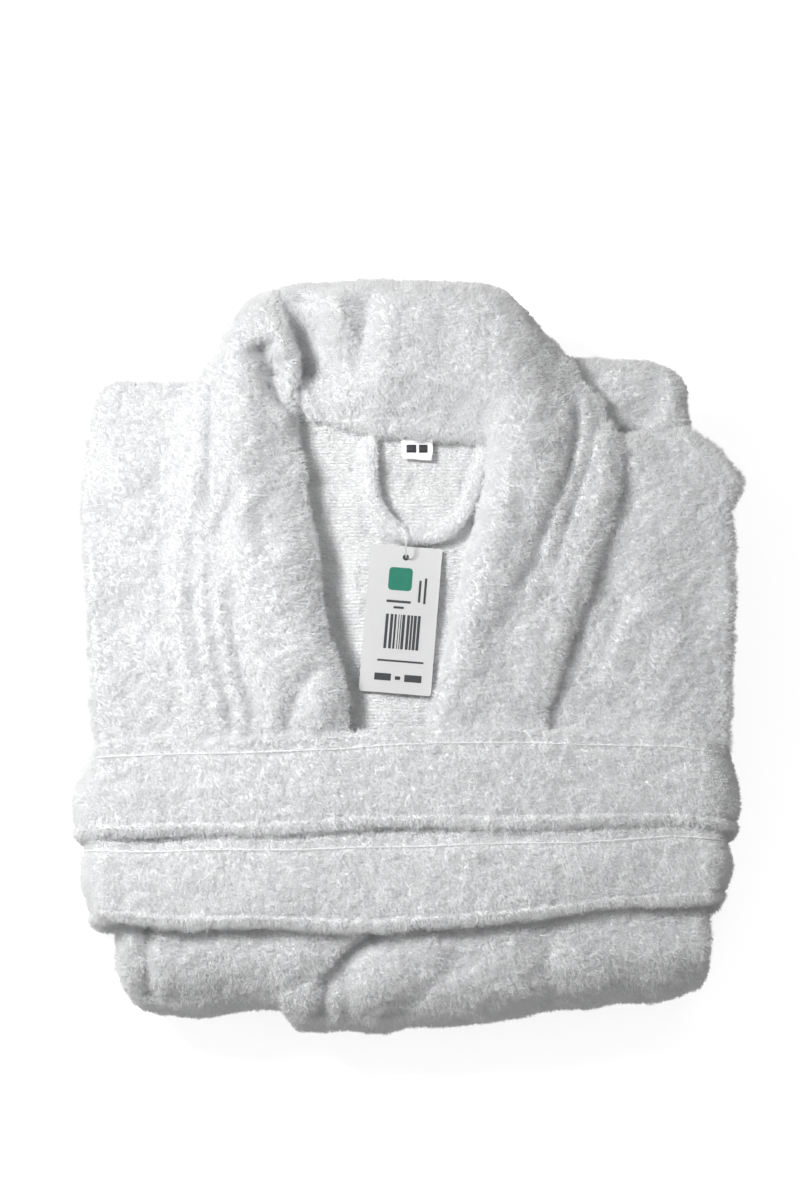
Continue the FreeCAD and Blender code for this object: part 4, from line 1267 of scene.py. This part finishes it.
COLLAR_FOLDS = seen_grooves([
    # the two stitched bands along the outer edge
    (-2.6, 3.8, 86, 0.3, [(87, 107), (89, 97.5), (89, 88), (87, 80), (84, 65.5), (78.5, 51.5),
                          (71.5, 35), (66, 20), (60, 5), (52.5, -11)]),
    (-2.5, 2.8, 85, 0.25, [(94, 102), (97.5, 94), (96.5, 85), (94, 75), (90.5, 62.5), (85, 49),
                           (81, 35), (76.5, 20), (73, 7.5)]),
    (1.6, 5.0, 88, 0.15, [(81, 110), (81, 90), (75.5, 67.5), (69, 50), (62, 32.5), (55, 15),
                          (47, -6)]),
    (1.6, 4.5, 84, 0.1, [(101.5, 86), (102, 65), (97, 42.5), (90, 20), (83, -2.5), (76, -25)]),
    (1.6, 2.8, 86, 0.1, [(92, 104), (93, 87.5), (90, 70), (83, 54), (76, 35), (71, 19)]),
    (-1.8, 3.6, 86, 0.3, [(84, 106), (87.5, 96), (88, 85), (85, 72.5), (80.5, 59)]),
    # soft standing folds of the collar back
    (-5.0, 6.0, 88, 0.2, [(-17, 154), (-18.5, 137.5), (-19.5, 125), (-23.5, 112)]),
    (3.0, 5.0, 86, 0.25, [(-31.5, 155), (-31.5, 142.5), (-31, 131)]),
    (-3.5, 8.0, 80, 0.12, [(-50, 157), (-49, 144), (-48, 127.5), (-47, 110)]),
    (1.4, 7.0, 90, 0.25, [(-7, 153), (-7, 137.5), (-10, 120)]),
    (-1.4, 8.0, 92, 0.3, [(-1, 153), (1, 135), (-1, 114)]),
    (-1.2, 9.0, 92, 0.3, [(20, 154), (23, 135), (21, 110)]),
    (-1.4, 7.0, 92, 0.3, [(50, 140), (65, 125), (80, 114)]),
    (1.4, 7.0, 88, 0.2, [(52.5, 65), (48, 40), (43, 15)]),
    (-1.6, 8.0, 88, 0.2, [(65, 65), (60, 30), (52.5, -5), (43, -35)]),
])
LAPEL_HEIGHTS = Heights([
    (-61, 144, 84), (-72.5, 141, 86), (-80, 130, 87), (-69, 130, 88), (-60, 131, 91),
    (-56, 130, 89), (-82.5, 117.5, 89), (-75, 119, 90), (-68, 117, 85), (-61, 115, 82),
    (-54, 115, 82), (-87.5, 104, 87), (-80, 105, 91), (-73, 104.5, 88), (-68, 104.5, 84.5),
    (-62, 107, 82), (-55.5, 113, 83.5), (-55, 101, 78), (-92.5, 95, 85.5), (-80, 94, 91),
    (-72, 94, 88), (-64, 94, 82.5), (-58, 93, 78.6), (-97.5, 75, 84.5), (-89, 75, 89.5),
    (-80, 75, 91), (-72, 75, 87.8), (-64, 75, 82.6), (-55, 74, 77.6), (-97.5, 50, 83.5),
    (-89, 50, 87.5), (-80, 50, 90), (-69, 50, 87.6), (-60, 50, 83.2), (-50.5, 50, 78.4),
    (-97.5, 25, 82.5), (-85, 25, 86), (-72.5, 25, 89.5), (-60, 25, 89.5), (-51, 25, 85),
    (-45, 25, 79.5), (-97.5, 0, 82), (-85, 0, 84.5), (-70, 0, 88), (-57.5, 0, 90),
    (-48.5, 0, 86), (-42.5, 0, 80), (-94, -25, 81.5), (-80, -25, 83.5), (-65, -25, 86.5),
    (-52.5, -25, 88.5), (-42.5, -25, 86), (-36, -25, 81), (-92.5, -45, 81), (-75, -45, 82.5),
    (-60, -45, 84.5), (-50, -47.5, 84), (-40, -45, 85.5), (-31.5, -45, 81),
    (-97.5, 100, 81.5), (-110, 80, 79.5), (-111, 50, 79.5), (-111, 10, 79.5),
    (-110, -20, 79.5), (-104, -45, 79.5), (-67.5, -57.5, 81), (-87.5, -62.5, 80),
    (-100, -65, 79), (-35, -57.5, 82.5), (-35, -70, 79), (-55, -71, 78.5), (-90, -71.5, 78.2),
])
LAPEL_FOLDS = seen_grooves([
    # the pinched hollow behind the roll
    (-12.0, 8.0, 86, 0.12, [(-71.5, 132), (-67, 122), (-62.5, 112.5), (-58, 105.5),
                            (-51.5, 100.5)]),
    (-3.5, 4.0, 90, 0.15, [(-67, 112), (-60, 103), (-52, 98.5)]),
    (1.5, 4.0, 90, 0.3, [(-61, 139), (-59.5, 130), (-58, 122)]),
    (2.0, 6.0, 90, 0.2, [(-69, 94), (-62, 93), (-55, 88)]),
    # hem band along the outer edge
    (2.4, 5.2, 82, 0.08, [(-98.5, 114), (-101, 100), (-101, 80), (-102, 60), (-104, 44)], 4),
    (-1.8, 2.4, 82, 0.1, [(-94.5, 110), (-96, 95), (-96, 75), (-98, 50)]),
    (-1.5, 2.2, 79, 0.03, [(-109, 102.5), (-114, 90), (-118, 75), (-119, 50), (-118, 20),
                           (-116.5, 0), (-114.5, -20), (-110, -45), (-104, -67.5)]),
    (0.8, 5.0, 80, 0.2, [(-107, 60), (-112, 20), (-111, -20), (-104, -50)]),
    # long slack folds below
    (-2.0, 2.8, 82, 0.1, [(-105, 40), (-104.5, 15), (-104, -5), (-101, -30), (-96, -55),
                          (-93, -67.5)]),
    (1.7, 3.0, 82, 0.1, [(-100, 30), (-100, 5), (-98.5, -15), (-94, -40), (-89, -65)]),
    (-1.8, 2.6, 82, 0.1, [(-97, 20), (-95.5, 0), (-93.5, -20), (-88.5, -45), (-83.5, -67.5)]),
    (1.8, 3.4, 83, 0.1, [(-92, 17.5), (-90.5, -2.5), (-88, -25), (-82, -50), (-78, -67.5)]),
    (-2.6, 5.0, 84, 0.25, [(-80, 61), (-85.5, 47.5), (-90.5, 35), (-92.5, 24)]),
    (1.6, 5.0, 86, 0.25, [(-74, 59), (-78.5, 45), (-82, 30)]),
    (-2.2, 4.8, 84, 0.15, [(-84.5, 7.5), (-85, -10), (-81, -30), (-75, -50), (-69, -67.5)]),
    (1.5, 6.0, 84, 0.15, [(-76, 20), (-75, -10), (-69, -40), (-63, -67.5)]),
    (-1.5, 8.0, 90, 0.25, [(-65, 80), (-69, 55), (-69, 30), (-65, 0)]),
    (-1.4, 7.0, 90, 0.2, [(-50, 20), (-55, 0), (-59, -25)]),
    # crease at the lower end
    (-3.6, 4.2, 84, 0.12, [(-40, -30), (-46, -38), (-51.5, -46), (-56, -56), (-58, -67.5)]),
    (2.0, 5.5, 84, 0.15, [(-33, -40), (-39, -50), (-43, -65)]),
    (1.4, 5.0, 82, 0.15, [(-59, -30), (-64, -50), (-66, -67.5)]),
])


def build_shawl(name, outline, heights, folds, bottom, nodes, seed, lean):
    made = sheet(name, seen_rows(outline), 1.5, lambda X: heights(X) + total(folds, X), bottom,
                 soft=0.35, pile=shawl_pile, seed=seed, tuft=0.26)
    fit_cloth(made, None, nodes, seed=100 + seed, lean=lean)
    return made


# the collar back and the left lapel are one band of cloth
collar = build_shawl(
    "collar_and_left_lapel_cloth", COLLAR_OUTLINE, COLLAR_HEIGHTS, COLLAR_FOLDS,
    lapel_underside(hollow=9.0, end_z=34.0, end_y=168.0),
    ["collar_back", "left_lapel"], seed=23, lean=(0.05, -0.2, 0.0),
)
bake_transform(collar)
lapel = build_shawl(
    "right_lapel_cloth", LAPEL_OUTLINE, LAPEL_HEIGHTS, LAPEL_FOLDS,
    lapel_underside(hollow=6.5, end_z=58.0, end_y=172.0),
    ["right_lapel"], seed=24, lean=(0.1, -0.15, 0.0),
)
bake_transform(lapel)


# ------------------------------------------------------------------ neck tape and hanger loop
def twill():
    made, graph, shader = material("neck_tape_twill")
    turned = graph.add("ShaderNodeMapping", {
        "Vector": graph.coordinates(), "Rotation": (0, 0, math.radians(35)),
    })
    ribs = graph.add("ShaderNodeTexWave",
                     {"Vector": turned, "Scale": 420.0, "Distortion": 0.6}, out="Fac")
    graph.fill(shader, {
        # painted shade: the ribs' colour darkens where their bump is low
        "Base Color": graph.ramp(ribs, 0.2, 0.8, (0.74, 0.74, 0.75), (0.92, 0.92, 0.92)),
        "Normal": graph.bump(ribs, strength=0.6, distance=0.0003),
        "Roughness": 0.8,
        "Sheen Weight": 0.2,
    })
    return made


def build_neck_tape():
    width = 8.4
    seam = seen([(-41, 91), (-30, 88), (-18, 86), (-10, 84), (15, 82.5), (42, 82)], 66.0)
    outline = [(x, y, 65.0, 0.6) for x, y in seam]
    outline += [(x, y + width, 65.0, 0.6) for x, y in seam[::-1]]
    made = sheet("neck_tape_ribbon", outline, 1.4, level(65.7), level(64.4), relief=0.04,
                 seed=25, smooth=False)
    fit(made, twill(), "robe", "tape", "neck_tape")


HANGER_OUTLINE = [
    # outer side
    (-18.5, 81.5), (-18.5, 65), (-18.5, 55), (-15.5, 45.5), (-11, 37.5), (-4, 31), (4.5, 29),
    (12.5, 28.75), (19, 29), (27.5, 33.5), (36, 45), (40.5, 55), (44, 71), (44.5, 81.5),
    # inner side
    (38, 82), (37.5, 72), (34.5, 60), (30, 50), (23.5, 40.5), (17, 36), (11.5, 35.5), (5, 36),
    (-0.5, 37.5), (-6, 43.5), (-10, 50), (-11.5, 56.5), (-11.5, 65), (-11.5, 82),
]


def hanger_pile(flat, co, side, d):
    return np.where(co[:, 2] > 68.4, 1.1, 0.2), np.full(len(co), 0.62)


def build_hanger_loop():
    """A strap hanging in a U, its two ends lower where they run under the collar."""
    outline = [
        (x, y, 69.8 - 2.6 * float(ease(74, 81, up)), 2.2)
        for (x, y), (_, up) in zip(seen(HANGER_OUTLINE, 69.5), HANGER_OUTLINE)
    ]
    made = sheet("hanger_loop_strap", outline, 1.2,
                 lambda X: 72.4 - 2.4 * ease(112, 122, X[:, 1]),
                 lambda X: 67.9 - 2.2 * ease(112, 122, X[:, 1]),
                 relief=0.3, soft=0.15, pile=hanger_pile, seed=26)
    fit_cloth(made, "hanger_loop", ["hanger_loop"], seed=126)


build_neck_tape()
build_hanger_loop()


# ------------------------------------------------------------------ labels
def satin():
    made, graph, shader = material("label_satin_weave")
    at = graph.coordinates()
    ribs = graph.add("ShaderNodeTexWave", {"Vector": at, "Scale": 900.0, "Distortion": 0.4},
                     out="Fac", bands_direction="X")
    shade = graph.noise(at, 300.0)
    graph.fill(shader, {
        "Base Color": graph.ramp(shade, 0.3, 0.8, (0.90, 0.90, 0.91), (0.97, 0.97, 0.97)),
        "Normal": graph.bump(ribs, strength=0.35, distance=0.0002),
        "Roughness": 0.32,
        "Sheen Weight": 0.2,
    })
    return made


SATIN = satin()


def label_height(x, y):
    """The size label's upper face, rippled and rising away from the neck."""
    return 67.0 + 1.0 * ease(121, 110, y) + 0.25 * np.sin(x * 0.5)


def build_labels():
    places = [(0.5, 81), (16.75, 80.5), (16.25, 69.5), (1, 70.5)]
    corners = seen(places, np.array([66.5, 66.5, 67.5, 67.5]))
    edge_heights = (66.6, 66.6, 68.0, 67.8)
    made = sheet("size_label_ribbon", [(x, y, z, 0.3) for (x, y), z in zip(corners, edge_heights)],
                 0.8, lambda X: label_height(*X.T), lambda X: label_height(*X.T) - 0.4,
                 relief=0.0, seed=27, smooth=False, gap=1.0)
    fit(made, SATIN, "size_label", "label_satin", "size_label")

    corners = [(112.0, 60.0), (142.0, 60.0), (142.0, 110.0), (112.0, 110.0)]
    made = sheet("care_label_ribbon", [(x, y, 25.5, 0.3) for x, y in corners], 2.0,
                 level(25.75), level(25.3), relief=0.0, seed=28, smooth=False)
    fit(made, SATIN, "robe", "label_satin", "care_label")


build_labels()


# ------------------------------------------------------------------ hang tag
def card():
    made, graph, shader = material("tag_card")
    at = graph.coordinates()
    grain = graph.noise(at, 900.0, Detail=5.0)
    slow = graph.noise(at, 25.0)
    shade = graph.add("ShaderNodeMath", {0: grain, 1: 0.35, 2: slow}, operation="MULTIPLY_ADD")
    graph.fill(shader, {
        "Base Color": graph.ramp(shade, 0.35, 0.95, (0.58, 0.58, 0.585), (0.65, 0.65, 0.65)),
        "Normal": graph.bump(grain, strength=0.15, distance=0.0001),
        "Roughness": 0.55,
    })
    return made


def ink(name, colour):
    made, graph, shader = material(name)
    shade = graph.noise(graph.coordinates(), 1500.0)
    lighter = tuple(min(1.0, c * 1.35 + 0.012) for c in colour)
    graph.fill(shader, {
        "Base Color": graph.ramp(shade, 0.3, 0.8, colour, lighter),
        "Roughness": 0.5,
    })
    return made


def clear_plastic():
    made, graph, shader = material("clear_plastic")
    roughness = graph.add("ShaderNodeMapRange", {
        "Value": graph.noise(graph.coordinates(), 700.0), "To Min": 0.08, "To Max": 0.25,
    }, out="Result")
    graph.fill(shader, {
        "Roughness": roughness,
        "Base Color": (0.9, 0.93, 0.94, 1),
        "Transmission Weight": 0.75,
        "IOR": 1.49,
    })
    return made


def repaint(node, mat):
    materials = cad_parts[node].data.materials
    materials.clear()
    materials.append(mat)


repaint("hang_tag", card())
INK_DARK = ink("print_dark", (0.035, 0.036, 0.04))
INK_GREEN = ink("print_green", (0.005, 0.16, 0.10))
TAG_TURN = math.radians(-4.7)
TAG_EYELET_Y = 58.3
TAG_FACE = 68.5


def tag_xy(u, v):
    """A place on the tag: u across, v down from the eyelet, mm."""
    cos, sin = math.cos(TAG_TURN), math.sin(TAG_TURN)
    return u * cos + v * sin, TAG_EYELET_Y + u * sin - v * cos


def print_marks(name, boxes, mat, rounding):
    """Thin round-cornered slabs on the tag; boxes are (u0, v0, u1, v1)."""
    co, faces = [], []
    for u0, v0, u1, v1 in boxes:
        r = min(rounding, abs(u1 - u0) / 2.01, abs(v1 - v0) / 2.01)
        corners = ((u1 - r, v1 - r, 0), (u0 + r, v1 - r, 90), (u0 + r, v0 + r, 180),
                   (u1 - r, v0 + r, 270))
        ring = []
        for u, v, start in corners:
            for k in range(4):
                a = math.radians(start + 30 * k)
                ring.append(tag_xy(u + r * math.cos(a), v + r * math.sin(a)))
        n = len(ring)
        b = len(co)
        co += [(x, y, z) for z in (TAG_FACE - 0.02, TAG_FACE + 0.05) for x, y in ring]
        # rings run clockwise seen from above, because v grows downwards
        faces.append([b + i for i in range(n)])
        faces.append([b + n + i for i in range(n)][::-1])
        faces += [
            [b + (i + 1) % n, b + i, b + n + i, b + n + (i + 1) % n] for i in range(n)
        ]
    made = new_mesh(name, co, faces)
    for polygon in made.data.polygons:
        polygon.use_smooth = False
    fit(made, mat, "hang_tag", "tag_card")


def dark_marks():
    """Text lines and side strips, a row of bars, a rule and three short blocks."""
    marks = [(-8.8, 24.6, 4.8, 26.0), (-4.6, 28.0, 1.2, 29.3), (8.6, 12.5, 9.9, 25.0),
             (11.6, 11.0, 12.9, 25.6)]
    random = np.random.RandomState(5)
    u = -8.4
    while u < 10.4:
        width = float(random.choice([0.5, 0.8, 1.2, 1.6]))
        marks.append((u, 32.5, min(u + width, 11.2), 52.0))
        u += width + float(random.choice([0.5, 0.7, 1.0]))
    return marks + [(-11.2, 58.2, 14.6, 59.3), (-12.0, 66.0, -2.8, 70.0),
                    (-0.6, 67.2, 2.4, 69.2), (4.6, 66.0, 14.2, 70.0)]


print_marks("tag_print_green", [(-8.6, 6.0, 4.6, 19.0)], INK_GREEN, rounding=2.0)
print_marks("tag_print_dark", dark_marks(), INK_DARK, rounding=0.3)


def build_size_label_print():
    """Two small dark blocks that follow the size label's ripples."""
    steps = 8
    m = steps + 1
    co, faces = [], []
    for start, end in ((3.25, 8.0), (9.5, 13.75)):
        b = len(co)
        for lift in (-0.05, 0.14):
            for up in (73.75, 77.75):
                places = [(start + (end - start) * i / steps, up) for i in range(m)]
                co += [(x, y, label_height(x, y) + lift) for x, y in seen(places, 67.6)]
        for i in range(b, b + steps):
            faces += [
                [i + 2 * m, i + 2 * m + 1, i + 3 * m + 1, i + 3 * m],
                [i, i + m, i + m + 1, i + 1],
                [i, i + 1, i + 2 * m + 1, i + 2 * m],
                [i + m + 1, i + m, i + 3 * m, i + 3 * m + 1],
            ]
        last = b + steps
        faces.append([b, b + 2 * m, b + 3 * m, b + m])
        faces.append([last, last + m, last + 3 * m, last + 2 * m])
    fit(new_mesh("size_label_print", co, faces), INK_DARK, "size_label", "label_satin")


build_size_label_print()
repaint("tag_fastener", clear_plastic())


# ------------------------------------------------------------------ stage
def build_floor():
    """White to the camera, greyer to other rays so that it bounces less light."""
    bpy.ops.mesh.primitive_plane_add(size=24, location=(0, 0, 0))
    floor = bpy.context.object
    floor.name = "floor"
    mat, graph, shader = material("floor_white")
    in_view = graph.add("ShaderNodeLightPath", out="Is Camera Ray")
    glow = graph.add("ShaderNodeMath", {0: in_view, 1: 0.72}, operation="MULTIPLY")
    colour = graph.add("ShaderNodeMix", {
        "Factor": in_view, "A": (0.45, 0.45, 0.45, 1), "B": (0.9, 0.9, 0.9, 1),
    }, out="Result", data_type="RGBA")
    # the socket's own colour, under the link
    shader.inputs["Base Color"].default_value = (0.93, 0.93, 0.93, 1)
    graph.fill(shader, {
        "Base Color": colour,
        "Roughness": 0.9,
        "Emission Color": (1, 1, 1, 1),
        "Emission Strength": glow,
    })
    floor.data.materials.append(mat)


def build_world():
    """Bright behind the scene, dim as a light."""
    world = bpy.data.worlds.new("studio")
    world.use_nodes = True
    SCENE.world = world
    graph = Graph(world.node_tree)
    in_view = graph.add("ShaderNodeLightPath", out="Is Camera Ray")
    strength = graph.add("ShaderNodeMath", {0: in_view, 1: 0.70, 2: 0.27},
                         operation="MULTIPLY_ADD")
    graph.fill(world.node_tree.nodes["Background"], {0: (1.0, 1.0, 1.0, 1), 1: strength})


def area(name, place, aim, power, size):
    data = bpy.data.lights.new(name, "AREA")
    data.energy, data.size = power, size
    light = bpy.data.objects.new(name, data)
    light.location = place
    light.rotation_euler = (Vector(aim) - Vector(place)).to_track_quat("-Z", "Y").to_euler()
    light.visible_camera = False
    SCENE.collection.objects.link(light)
    return light


def build_camera():
    data = bpy.data.cameras.new("camera")
    data.lens = LENS
    data.sensor_width = 36.0
    data.clip_start, data.clip_end = 0.05, 50.0
    camera = bpy.data.objects.new("camera", data)
    SCENE.collection.objects.link(camera)
    camera.location = EYE / 1000.0
    camera.rotation_euler = (math.radians(90.0) - ELEVATION, 0.0, 0.0)
    SCENE.camera = camera


build_floor()
build_world()
key = area("key", place=(-0.60, 0.29, 0.80), aim=(-0.04, 0.01, 0.07), power=4.35, size=0.22)
key.data.spread = math.radians(118)
area("fill_back", place=(0.55, 1.1, 1.5), aim=(0, 0, 0.05), power=2.6, size=1.1)
area("fill_front", place=(-0.35, -1.5, 0.42), aim=(0, 0, 0.05), power=2.4, size=0.9)
build_camera()
SCENE.view_settings.view_transform = "Standard"
SCENE.cycles.diffuse_bounces = 8
SCENE.cycles.transmission_bounces = 12
